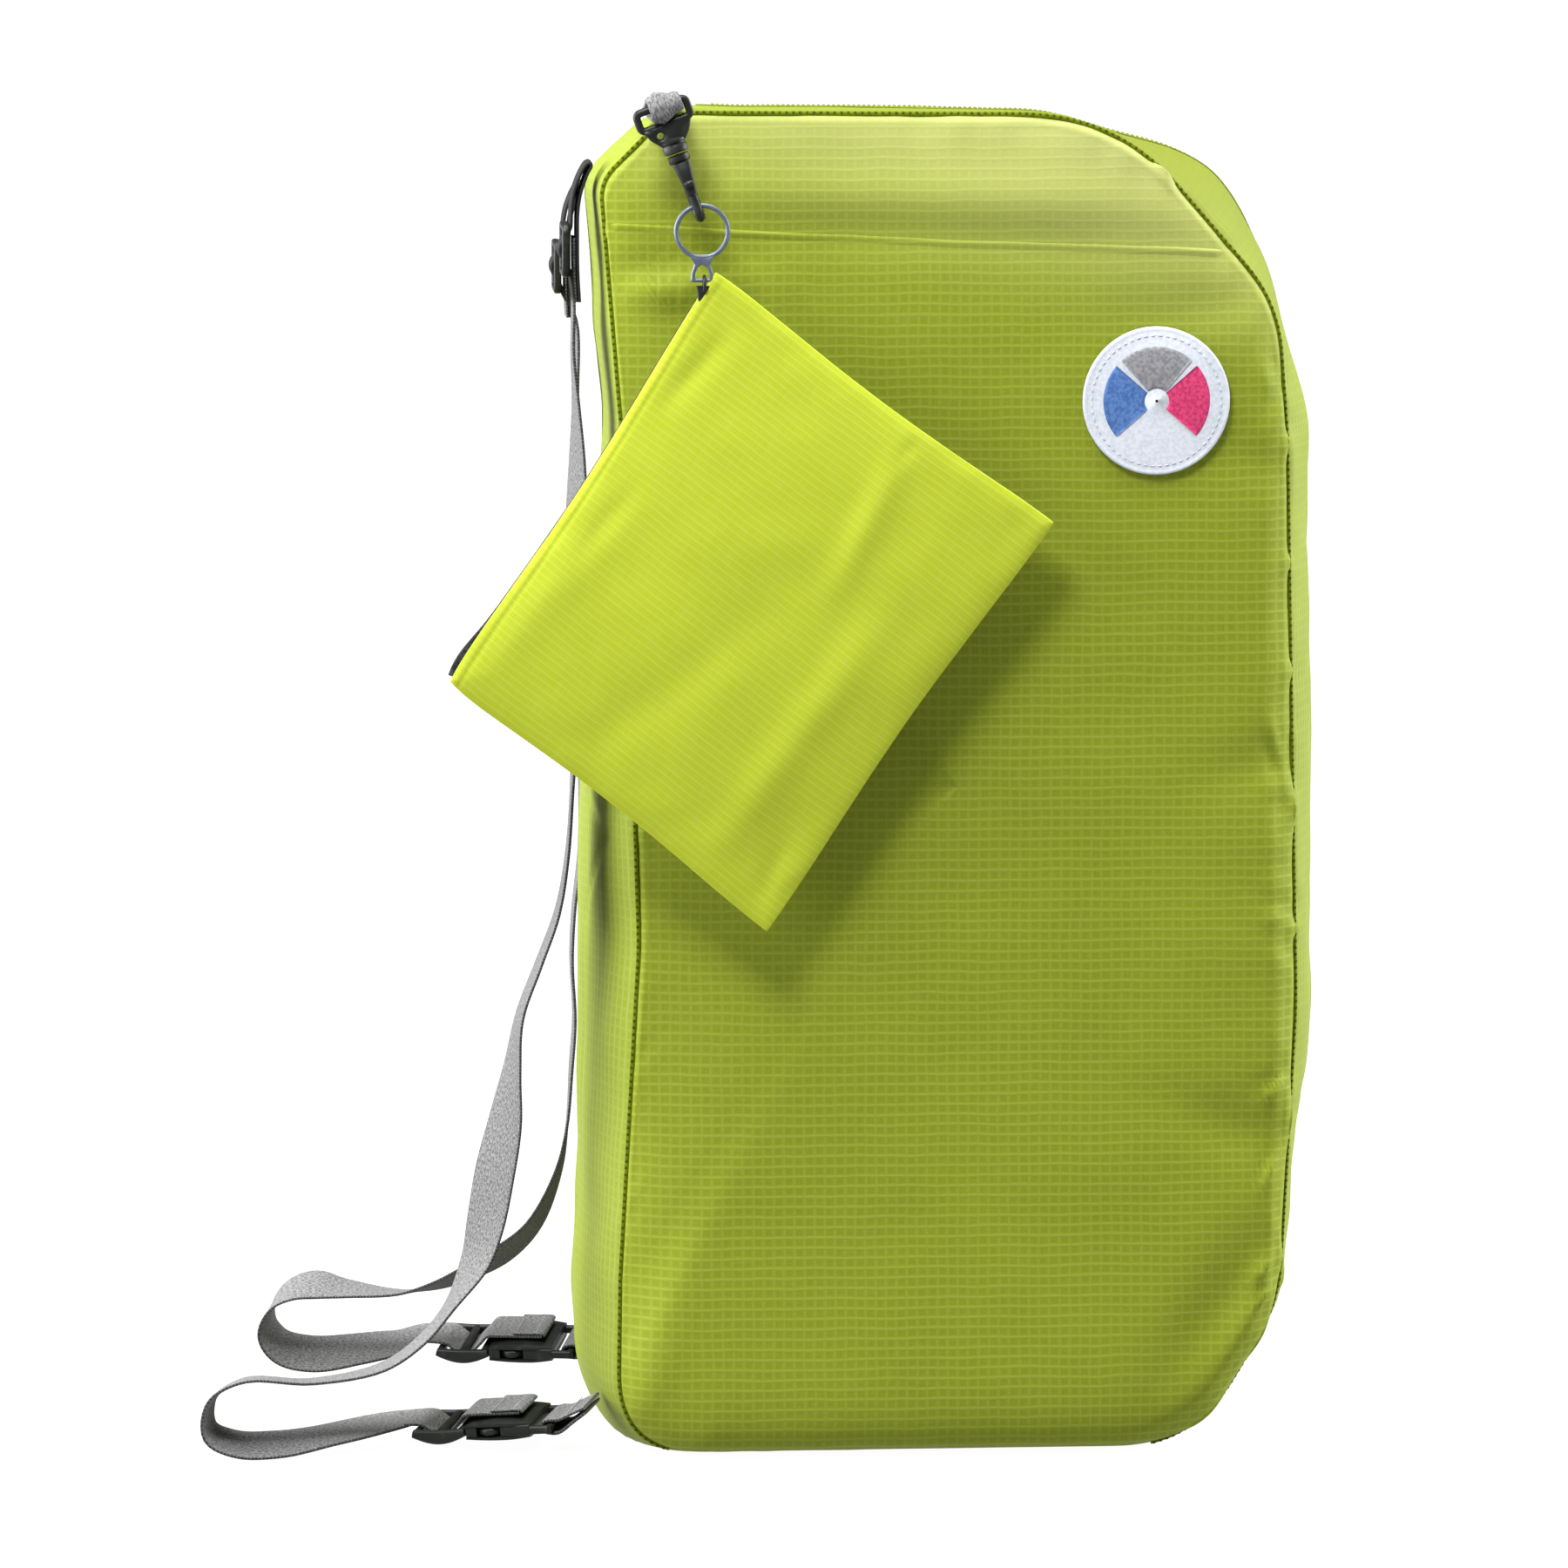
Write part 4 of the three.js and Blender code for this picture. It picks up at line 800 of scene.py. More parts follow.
def acetal():
    """Black moulded plastic with a faint grain and scuffs."""
    material, tree, shader = new_finish("black_acetal", 0.42, Specular_IOR_Level=0.17)
    place = object_place(tree)
    scuff = ramp(tree, noise(tree, place, 260.0, 4.0), 0.52, 0.75)
    colour = mixed(tree, scuff, (0.006, 0.007, 0.006), (0.016, 0.017, 0.016))
    tree.links.new(colour, shader.inputs["Base Color"])
    emboss(tree, shader, noise(tree, place, 2500.0), 0.03, 0.4)
    return material


def ring_metal():
    """Grey-blue coated metal, a little uneven."""
    material, tree, shader = new_finish("coated_ring_metal", 0.42, Metallic=0.55)
    place = object_place(tree)
    tone = noise(tree, place, 300.0, 3.0)
    tree.links.new(mixed(tree, tone, (0.05, 0.062, 0.086), (0.105, 0.122, 0.16)), shader.inputs["Base Color"])
    emboss(tree, shader, noise(tree, place, 1800.0), 0.03, 0.4)
    return material


def woven_thread(name, dark, light, roughness=0.75):
    """Dyed thread or tape: fine flecks of two near tones."""
    material, tree, shader = new_finish(name, roughness, Specular_IOR_Level=0.03)
    place = object_place(tree)
    fleck = noise(tree, place, 900.0, 3.0)
    tree.links.new(mixed(tree, ramp(tree, fleck, 0.35, 0.65), dark, light), shader.inputs["Base Color"])
    emboss(tree, shader, fleck, 0.1, 0.5)
    return material


# The wide panels' last tone is a pale painted highlight towards the top of the bag.
LIME = ripstop("lime_ripstop", (0.123, 0.153, 0.009), (0.179, 0.215, 0.027), (0.114, 0.142, 0.008),
               3.4, 0.6, 1.0, 0.6, (0.242, 0.254, 0.092))
POUCH_LIME = ripstop("pouch_ripstop", (0.24, 0.284, 0.011), (0.292, 0.33, 0.06), (0.226, 0.268, 0.01),
                     2.4, 1.0, 0.2, 0.3)
# The narrow side's last tone is a darker painted shade towards the top of the bag.
SIDE_LIME = ripstop("side_ripstop", (0.128, 0.160, 0.016), (0.186, 0.224, 0.038), (0.119, 0.149, 0.015),
                    3.4, 0.6, 1.0, 0.5, (0.093, 0.112, 0.013))
WEBBING = webbing("grey_webbing")
STRAP_WEBBING = webbing("strap_webbing", 96.0)
ACETAL = acetal()
RING_METAL = ring_metal()
# The seam's rod and its thread dashes are darkened as painted shade of the sewn groove and of its stitches.
SEAM_THREAD = woven_thread("olive_thread", (0.022, 0.03, 0.001), (0.036, 0.047, 0.0015))
GROOVE_SHADE_TAPE = woven_thread("olive_groove_shade", (0.052, 0.068, 0.0015), (0.072, 0.093, 0.002))
POUCH_THREAD = woven_thread("pouch_thread", (0.2, 0.242, 0.01), (0.25, 0.3, 0.015))
GREY_THREAD = woven_thread("grey_thread", (0.16, 0.16, 0.16), (0.26, 0.26, 0.26))
ZIP_TAPE = woven_thread("black_zip_tape", (0.012, 0.012, 0.013), (0.03, 0.03, 0.032))
BADGE_CLOTH = woven_thread("pale_badge_cloth", (0.33, 0.352, 0.392), (0.385, 0.405, 0.44), 0.7)
BADGE_THREAD = woven_thread("badge_thread", (0.28, 0.296, 0.34), (0.35, 0.366, 0.41))
LIME_TAPE = woven_thread("lime_zip_tape", (0.084, 0.103, 0.006), (0.112, 0.135, 0.011))
BADGE_COLOURS = [
    woven_thread("badge_blue", (0.035, 0.075, 0.20), (0.06, 0.12, 0.27), 0.6),
    woven_thread("badge_grey", (0.11, 0.11, 0.12), (0.17, 0.17, 0.18), 0.6),
    woven_thread("badge_crimson", (0.28, 0.02, 0.07), (0.40, 0.04, 0.11), 0.6),
]


# Bag shape

def nearness(spot, rows):
    """Bell curve of the distance from each point to each row's x and z, over the row's reach."""
    gap = spot[:, None] - rows[:, :2]
    return np.exp(-np.sum(gap**2, -1) / rows[:, 2] ** 2)


def seam_stations(count):
    """Even stations round the seam. Each corner becomes a quadratic curve that starts and ends its rounding
    times the tangent of half its turn away; the corners' values ease from one curve's middle to the next."""
    corner = SEAM[:, :2]
    before = unit(np.roll(corner, 1, 0) - corner)
    after = unit(np.roll(corner, -1, 0) - corner)
    turn = np.pi - np.arccos(np.clip(np.sum(before * after, 1), -1, 1))
    reach = (SEAM[:, 2] * np.tan(turn / 2))[:, None]
    bend = 24
    t = np.linspace(0, 1, bend + 1)[None, :, None]
    start, end = (corner + before * reach)[:, None], (corner + after * reach)[:, None]
    run = ((1 - t) ** 2 * start + 2 * t * (1 - t) * corner[:, None] + t**2 * end).reshape(-1, 2)
    run = np.concatenate([run, run[:1]])
    distance = lengths_along(run)
    total = distance[-1]
    marks = distance[bend // 2::bend + 1][:len(SEAM)]
    at = total * np.arange(count) / count
    spot = sampled(at, distance, run)
    along = unit(np.roll(spot, -2, 0) - np.roll(spot, 2, 0))
    late = np.where(at < marks[0], at + total, at)
    stops = np.append(marks, marks[0] + total)
    k = np.clip(np.searchsorted(stops, late, "right") - 1, 0, len(SEAM) - 1)
    share = eased((late - stops[k]) / (stops[k + 1] - stops[k]))[:, None]
    values = SEAM[k, 3:] * (1 - share) + SEAM[(k + 1) % len(SEAM), 3:] * share
    dent = np.sum(GUSSET_DENTS[:, 3] * nearness(spot, GUSSET_DENTS), 1)
    return {
        "spot": spot,
        "normal": stacked(along[:, 1], -along[:, 0]),
        "bulge": np.maximum(values[:, 0] - dent, 0),
        "rise": values[:, 1],
        "pucker": values[:, 2],
        "crisp": values[:, 3],
        "closed": np.minimum(nearness(spot, PINCHES).sum(1), 1),
        "distance": at,
        "total": total,
    }


STATIONS = seam_stations(STATION_COUNT)
BEARING = np.arctan2(STATIONS["spot"][:, 1] - PANEL_MIDDLE, STATIONS["spot"][:, 0])
REACH = np.hypot(STATIONS["spot"][:, 0], STATIONS["spot"][:, 1] - PANEL_MIDDLE)
ORDER = np.argsort(BEARING)


def by_bearing(x, z, values):
    """A value of the seam where the ray from the panel's middle through a point meets it."""
    return np.interp(np.arctan2(z - PANEL_MIDDLE, x), BEARING[ORDER], values[ORDER], period=2 * np.pi)


def folds_at(a, b, folds):
    """Sum of long soft ridges: height times the bell curve along and across each fold's direction."""
    turn = np.radians(folds[:, 2])
    da, db = a[..., None] - folds[:, 0], b[..., None] - folds[:, 1]
    along = (da * np.cos(turn) + db * np.sin(turn)) / folds[:, 3]
    over = (db * np.cos(turn) - da * np.sin(turn)) / folds[:, 4]
    return np.sum(folds[:, 5] * np.exp(-along**2 - over**2), -1)


def pucker_at(x, z, strength, away, seed):
    """Gathers that the sewing pulls along a seam: noise at the seam's own point, dying off away from it."""
    fade = hump(away / PUCKER_REACH) * (1 - np.exp(-away / 1.5))
    return PUCKER_HIGH * strength * layered_noise(x, z, PUCKER_WAVES, seed) * fade


def panel_height(x, z, folds, seed):
    """How far a wide panel's face stands outside its seam: a crown that rises within a short way of the seam,
    more at the foot, with folds, slow waves and puckers, the ridge of the seam allowance, and the sewn groove
    at its edge, which pinches close. The rise is one less an exponential, or where it is crisp a straight
    slope with a softened end."""
    reach = by_bearing(x, z, REACH)
    rise = by_bearing(x, z, STATIONS["rise"])
    away = np.maximum(reach - np.hypot(x, z - PANEL_MIDDLE), 0)
    crisp = by_bearing(x, z, STATIONS["crisp"])
    slope = 1 - BEND_SOFT * np.log1p(np.exp((1 - away / rise) / BEND_SOFT))
    edge = (1 - crisp) * (1 - np.exp(-away / rise)) + crisp * slope
    swell = CROWN + SETTLE * hump(z / SETTLE_HEIGHT) + folds_at(x, z, folds)
    waves = layered_noise(x, z, PANEL_WAVES, seed)
    seam_x = by_bearing(x, z, STATIONS["spot"][:, 0])
    seam_z = by_bearing(x, z, STATIONS["spot"][:, 1])
    gather = pucker_at(seam_x, seam_z, by_bearing(x, z, STATIONS["pucker"]), away, seed + 2)
    allowance = ALLOWANCE_HIGH * hump((away - ALLOWANCE_AT) / ALLOWANCE_WIDE)
    closed = by_bearing(x, z, STATIONS["closed"])
    groove = GROOVE * (1 - closed) * np.exp(-away / GROOVE_WIDE)
    pinch = PINCH_HIGH * closed * hump(away / PINCH_WIDE)
    return edge * (swell + waves) + gather + allowance - (groove - pinch)


def front_face(x, z):
    """Y of the front panel's outer face."""
    return -(HALF_DEPTH + SEAM_LIFT + panel_height(x, z, PANEL_FOLDS, 11))


def wide_panel(name, side, folds, seed, replaced):
    """Rings from the seam to the panel's middle: close together at the seam, then even shares of what is
    left. The last ring is one point, joined by triangles."""
    inset = EDGE_INSET - PINCH_OUT * STATIONS["closed"][:, None]
    spot = STATIONS["spot"] - STATIONS["normal"] * inset
    middle = np.array((0, PANEL_MIDDLE))
    outward = spot - middle
    reach = np.linalg.norm(outward, axis=1)[:, None]
    inner = (1 - EDGE_RINGS[-1] / reach) * (1 - np.arange(1, INNER_RINGS) / INNER_RINGS)
    share = np.concatenate([1 - EDGE_RINGS / reach, inner], 1)
    x = middle[0] + outward[:, :1] * share
    z = middle[1] + outward[:, 1:] * share
    height = HALF_DEPTH + SEAM_LIFT + panel_height(x, z, folds, seed)
    drop = 1 - BACK_DROP * (side + 1) / 2
    points = stacked(x, side * height, z * drop)
    uv = stacked(x, z)
    part = patch(points, True, False, np.concatenate([uv, uv[:1]]), flip=side > 0)
    rows, columns = x.shape
    centre_height = panel_height(np.array([0.0]), np.array([PANEL_MIDDLE]), folds, seed)[0]
    centre = np.array([[0, side * (HALF_DEPTH + SEAM_LIFT + centre_height), PANEL_MIDDLE * drop]])
    last = np.arange(rows) * columns + columns - 1
    fan = stacked(last, np.roll(last, -1), rows * columns)
    fan_uv = np.stack([uv[:, -1], np.roll(uv[:, -1], -1, 0), np.broadcast_to(middle, (rows, 2))], 1)
    if side > 0:
        fan, fan_uv = fan[:, ::-1], fan_uv[:, ::-1]
    part = {
        "points": np.concatenate([part["points"], centre]),
        "faces": part["faces"] + [fan],
        "uv": np.concatenate([part["uv"], fan_uv.reshape(-1, 2)]),
    }
    panel = make_piece(name, part, LIME, "bag", replaced, wall=CLOTH_THICK)


def narrow_face(y):
    """Points of the narrow side, a row for each station and a column for each depth y: out from the seam by
    its bulge times one less the square of the share of the depth, with grooves at both seams, folds, puckers
    and slow waves."""
    y = y[None, :]
    share = y / HALF_DEPTH
    away = HALF_DEPTH - np.abs(y)
    normal, bulge = STATIONS["normal"], STATIONS["bulge"][:, None]
    x0, z0 = STATIONS["spot"][:, :1], STATIONS["spot"][:, 1:]
    groove = SIDE_GROOVE * (1 - STATIONS["closed"][:, None])
    out = bulge * (1 - share**2) - groove * np.exp(-away / GROOVE_WIDE)
    sideways = np.sign(normal[:, :1]) * eased((np.abs(normal[:, :1]) - 0.5) / 0.4)
    for side in (-1, 1):
        rows = GUSSET_FOLDS[GUSSET_FOLDS[:, 0] == side][:, 1:]
        out = out + np.maximum(side * sideways, 0) * folds_at(*np.broadcast_arrays(y, z0), rows)
    round_way = STATIONS["distance"][:, None] + 0 * y
    free = eased(away / SIDE_CALM) * eased((z0 - 2) / SIDE_CALM)
    slow = (0.15 + 0.65 * eased(bulge / 12)) * soft_noise(round_way, y + 200, 34.0, 5)
    out = out + free * (slow + 0.35 * soft_noise(round_way, y + 200, 15.0, 6))
    out = out + pucker_at(x0 + 0 * y, z0 + 0 * y, STATIONS["pucker"][:, None], away, 21)
    z = np.maximum((z0 + normal[:, 1:] * out) * (1 - BACK_DROP * (share + 1) / 2), 0.0)
    return stacked(x0 + normal[:, :1] * out, y, z)


def narrow_side():
    """The strip round the bag, over columns that are closer at both seams."""
    edge = np.concatenate([SIDE_COLUMNS, np.arange(13.2, HALF_DEPTH, SIDE_STEP)])
    y = np.concatenate([edge - HALF_DEPTH, [0], HALF_DEPTH - edge[::-1]])
    round_way = np.append(STATIONS["distance"], STATIONS["total"])
    uv = stacked(round_way[:, None], y[None, :])
    part = patch(narrow_face(y), True, False, uv)
    nodes = ("base_gusset", "right_gusset", "top_gusset", "harness_gusset")
    strip = make_piece("narrow_side_cloth", part, SIDE_LIME, "bag", nodes, wall=CLOTH_THICK)


def seam_stitching():
    """The sewn edges in the groove of both seams, as one dark olive rod that is painted shade of the groove,
    with thread dashes over it that are darkened as painted shade of the stitches.
    """
    spot = STATIONS["spot"] - STATIONS["normal"] * SEAM_IN
    normal = stacked(STATIONS["normal"][:, 0], 0, STATIONS["normal"][:, 1])
    edges, dashes = [], []
    for side in (-1, 1):
        drop = 1 - BACK_DROP * (side + 1) / 2
        path = stacked(spot[:, 0], side * (HALF_DEPTH + SEAM_OUT), spot[:, 1] * drop)
        high = path[:, 2] > SEAM_FOOT
        start = int(np.argmax(high & ~np.roll(high, 1)))
        path = np.roll(path, -start, 0)[:high.sum()]
        face = unit(np.roll(normal + np.array((0, side, 0)), -start, 0)[:high.sum()])
        edges.append(tube(path, (0, 1, 0), SEAM_ROD, 8))
        dashes.append(stitches(path + DASH_OUT * face, face, *SEAM_DASH))
    make_piece("seam_groove_shade", join(*edges), GROOVE_SHADE_TAPE, "bag")
    make_piece("seam_stitching", join(*dashes), SEAM_THREAD, "bag")


def pressed_tuck():
    """A narrow ridge of cloth across the front panel: a bell-shaped section that follows the panel's face."""
    x = np.linspace(TUCK[0, 0], TUCK[-1, 0], 400)
    z = np.interp(x, TUCK[:, 0], TUCK[:, 1]) + 0.25 * soft_noise(x, 0 * x, 18.0, 3)
    inside = by_bearing(x, z, REACH) - np.hypot(x, z - PANEL_MIDDLE) > 2.0
    x, z = x[inside], z[inside]
    offset = np.linspace(*TUCK_SPAN, 24)
    ridge = hump(offset / np.where(offset < 0, TUCK_BELOW, TUCK_WIDE))
    xs, zs = np.broadcast_arrays(x[:, None], z[:, None] + offset)
    ends = eased((x - x[0]) / 4) * eased((x[-1] - x) / 4)
    lift = -TUCK_SUNK + (TUCK_HIGH + TUCK_SUNK) * ridge[None, :] * ends[:, None]
    points = stacked(xs, front_face(xs, zs) - lift, zs)
    part = patch(points, uv=stacked(xs, zs), flip=True)
    make_piece("pressed_tuck", part, LIME, "bag", wall=0.3)


def badge():
    """A round sewn badge: a disc that follows the panel, with a rolled rim, a ring of stitches and raised
    coloured fields."""
    def on_panel(radius, angle, lift):
        x = BADGE_X + radius * np.cos(angle)
        z = BADGE_Z + radius * np.sin(angle)
        return stacked(x, front_face(x, z) - lift, z)

    angle = 2 * np.pi * np.arange(BADGE_SIDES)[:, None] / BADGE_SIDES
    disc = patch(on_panel(BADGE_RADIUS * BADGE_PROFILE[:, 0], angle, BADGE_PROFILE[:, 1]), True, False)
    rim = np.arange(BADGE_SIDES) * len(BADGE_PROFILE)
    disc = capped(disc, rim, (rim + len(BADGE_PROFILE) - 1)[::-1])
    make_piece("badge_disc", disc, BADGE_CLOTH, "bag", ("badge",))

    path = on_panel(BADGE_RADIUS * 0.88, np.linspace(0, 2 * np.pi, 241), 2.0)
    thread = stitches(path, (0, -1, 0), *BADGE_DASH)
    make_piece("badge_stitching", thread, BADGE_THREAD, "bag")

    for material, middle in zip(BADGE_COLOURS, (180, 90, 0)):
        fan = np.radians(middle + np.linspace(-FIELD_HALF, FIELD_HALF, 25))[:, None]
        points = on_panel(BADGE_RADIUS * FIELD_SECTION[:, 0], fan, FIELD_SECTION[:, 1])
        part = closed_ends(patch(points, False, True), *points.shape[:2], flip=True)
        make_piece(material.name + "_field", part, material, "bag")


# Harness

def ribbon(route, turn=0.0, steps=6, width=WEB_WIDTH, thick=WEB_THICK, hint=(0, 1, 0)):
    """Webbing: a squared oval section carried along a smooth route and turned about it."""
    hint = np.broadcast_to(np.asarray(hint, float), route.shape)
    run = smooth_path(np.column_stack([route, np.broadcast_to(turn, len(route))]), steps)
    stops = np.arange(len(route))
    at = np.arange(len(run)) / steps
    hints = sampled(at, stops, hint)
    return sweep(run[:, :3], hints, rounded_section(width, thick, 5, 28), turn=run[:, 3])


def from_buckle(points, buckle):
    """Points of a buckle's own frame, rolled about its length, raised, swung and moved to its place."""
    swing, rise, roll = (math.radians(buckle[key]) for key in ("swing", "rise", "roll"))
    x, y, z = np.asarray(points, float).T
    y, z = y * math.cos(roll) - z * math.sin(roll), y * math.sin(roll) + z * math.cos(roll)
    x, z = x * math.cos(rise) - z * math.sin(rise), x * math.sin(rise) + z * math.cos(rise)
    x, y = x * math.cos(swing) + y * math.sin(swing), y * math.cos(swing) - x * math.sin(swing)
    return stacked(x, y, z) + np.asarray(buckle["at"], float)


def in_buckle(rows, buckle):
    """Places along and up from a buckle's outer end, in the frame of the part."""
    rows = np.asarray(rows, float)
    return from_buckle(stacked(rows[:, 0], 0, rows[:, 1]), buckle)


def buckle_across(buckle):
    """Direction of a buckle's width, and of its upper face."""
    home, wide, high = from_buckle([(0, 0, 0), (0, 1, 0), (0, 0, 1)], buckle)
    return wide - home, high - home


def strap(name, route, buckle, slider):
    """One strap from its tail behind the slider to its tail on the buckle, with a hem at each end and
    stitches on the lower one."""
    upper = slider + stacked(-SLIDER_THREAD[:, 1], 0, SLIDER_THREAD[:, 0])
    lower = in_buckle(LADDER_THREAD, buckle)
    wide, high = buckle_across(buckle)
    path = np.concatenate([upper, route[:, :3], lower])
    turn = np.concatenate([np.zeros(len(upper)), route[:, 3], np.zeros(len(lower))])
    hint = np.tile((0, 1.0, 0), (len(path), 1))
    hint[-len(lower):] = wide
    part = ribbon(path, turn, hint=hint)
    make_piece(name + "_webbing", part, STRAP_WEBBING, "bag", (name + "_strap",), sharp=50)
    fold = ribbon(in_buckle(HEM_ROUTE, buckle), 0, 4, HEM_WIDTH, 0.75, wide)
    top = upper[:3] + np.array([(-1.15, 0, 0)])
    back = ribbon(top, 0, 4, HEM_WIDTH, 1.0)
    make_piece(name + "_hems", join(fold, back), WEBBING, "bag", sharp=50)
    across = np.linspace(-8.4, 8.4, 12)[:, None] * wide
    rows = [stitches(in_buckle([line], buckle) + across, high, *WEB_DASH) for line in HEM_LINES]
    make_piece(name + "_hem_stitching", join(*rows), GREY_THREAD, "bag")


def tab(name, buckle):
    """The loop of webbing from the catch's end bar to the bag, with stitches through both layers."""
    along, up = buckle["tab"]
    lead = TAB_LOOP[0]
    upper = [(along, up + TAB_SPLIT), ((along + lead[0]) / 2, (up + TAB_SPLIT + lead[1]) / 2)]
    lower = [((along + lead[0]) / 2, (up - TAB_SPLIT - lead[1]) / 2), (along, up - TAB_SPLIT)]
    mirrored = TAB_LOOP[::-1] * (1, -1)
    rows = np.concatenate([upper, TAB_LOOP, TAB_TURN, mirrored, lower])
    wide, high = buckle_across(buckle)
    part = ribbon(in_buckle(rows, buckle), 0, 5, hint=wide)
    make_piece(name + "_tab_webbing", part, WEBBING, "bag", (name + "_tab",), sharp=50)
    spot = in_buckle([((along + lead[0]) / 2 - 1, (up + TAB_SPLIT + lead[1]) / 2 + 0.72)], buckle)
    across = np.linspace(-8.8, 8.8, 12)[:, None] * wide
    thread = stitches(spot + across, high, *WEB_DASH)
    make_piece(name + "_tab_stitching", thread, GREY_THREAD, "bag")


def bar_across(x, z, half, wide, thick, power=3):
    """A rounded bar along Y."""
    path = stacked(x, np.linspace(-half, half, 9), z)
    return sweep(path, (1, 0, 0), rounded_section(wide, thick, power, 16))


def bar_along(start, stop, y, wide, thick, power=3, count=8):
    """A rounded bar along X."""
    path = stacked(np.linspace(start, stop, count), y, 0)
    return sweep(path, (0, 1, 0), rounded_section(wide, thick, power, 14))


def tri_glide(name, place):
    """A slider: a rounded rectangular frame with a ribbed middle bar, standing against the narrow side."""
    loop = rounded_loop(*SLIDER_LOOP)
    path = stacked(loop[:, 0], loop[:, 1], 0)
    frame_bar = sweep(path, (0, 0, 1), rounded_section(2.6, 2.4, 3, 16), closed=True)
    middle = bar_across(0, 0, 11.6, 2.5, 2.0)
    ribs = [bar_across(x, 0.75, 10.5, 0.5, 0.7, 2) for x in SLIDER_RIBS]
    part = join(frame_bar, middle, *ribs)
    x, y, z = part["points"].T
    part["points"] = place + stacked(-z, y, x)
    make_piece(name + "_tri_glide", part, ACETAL, "bag", (name + "_slider",), sharp=60)


def ladder_lock(name, buckle):
    """The strap half of a buckle: two bowed rails, three bars, and the prongs that go into the catch."""
    x = np.linspace(0, LADDER_LONG, 19)
    bow = np.sin(np.pi * x / LADDER_LONG)
    arm = np.linspace(*PRONG_SPAN, 15)
    lobe = hump((arm - PRONG_LOBE) / LOBE_LONG)
    parts = []
    for side in (-1, 1):
        path = stacked(x, side * 12.5, 0.1 - LADDER_BOW * bow)
        scale = stacked(1.0, 0.62 + 0.55 * bow)
        parts.append(sweep(path, (0, 1, 0), rounded_section(2.9, 4.2, 3, 16), scale))
        path = stacked(arm, side * (8.4 + LOBE_OUT * lobe), 0)
        parts.append(sweep(path, (0, 1, 0), rounded_section(3.4, 2.8, 3, 14)))
    parts.extend(bar_across(along, up, BUCKLE_HALF, *size) for along, up, *size in LADDER_BARS)
    parts.append(bar_along(17, 31, 0, 3.2, 2.8))
    part = join(*parts)
    part["points"] = from_buckle(part["points"], buckle)
    make_piece(name + "_ladder_lock", part, ACETAL, "bag", (name + "_ladder",), sharp=60)


def catch_shell(buckle_side):
    """Top or bottom wall of the catch: outer face crowned across and along, inner face flat."""
    across = np.linspace(-1, 1, 17)
    x = np.linspace(*CATCH_SPAN, 19)[:, None]
    arch = np.sin(np.pi * np.clip((x - 17.5) / 26, 0, 1)) ** 0.8
    outer = CATCH_EDGE + CATCH_CROWN * arch * (1 - 0.6 * np.abs(across) ** 3)
    half = CATCH_HALF - 1.2 * eased((x - 34) / 8)
    y = half * across[None, :]
    inner = np.full_like(outer, CATCH_WALL)
    loop_y = np.concatenate([y, y[:, ::-1]], 1)
    loop_z = buckle_side * np.concatenate([outer, inner], 1)
    points = stacked(x, loop_y, loop_z)
    part = patch(points, False, True, flip=buckle_side > 0)
    return closed_ends(part, *points.shape[:2], flip=buckle_side < 0)


def side_catch(name, buckle):
    """The bag half of a buckle: two crowned walls, the side posts that leave the release windows open, and
    the end bar that the tab goes round."""
    parts = [catch_shell(1), catch_shell(-1)]
    for side in (-1, 1):
        parts.extend(bar_along(*post, side * 12.6, 2.5, 4.2, 5, 6) for post in CATCH_POSTS)
        parts.append(bar_along(*CATCH_RAIL, side * BUCKLE_HALF, 2.8, 2.8))
    parts.append(bar_across(39.6, 0, BUCKLE_HALF, 2.8, 4.2, 4))
    parts.append(bar_across(47.2, 0, 13.4, 2.6, 2.5))
    part = join(*parts)
    part["points"] = from_buckle(part["points"], buckle)
    make_piece(name + "_catch_body", part, ACETAL, "bag", (name + "_catch",), sharp=50)


# Hook, ring and pouch

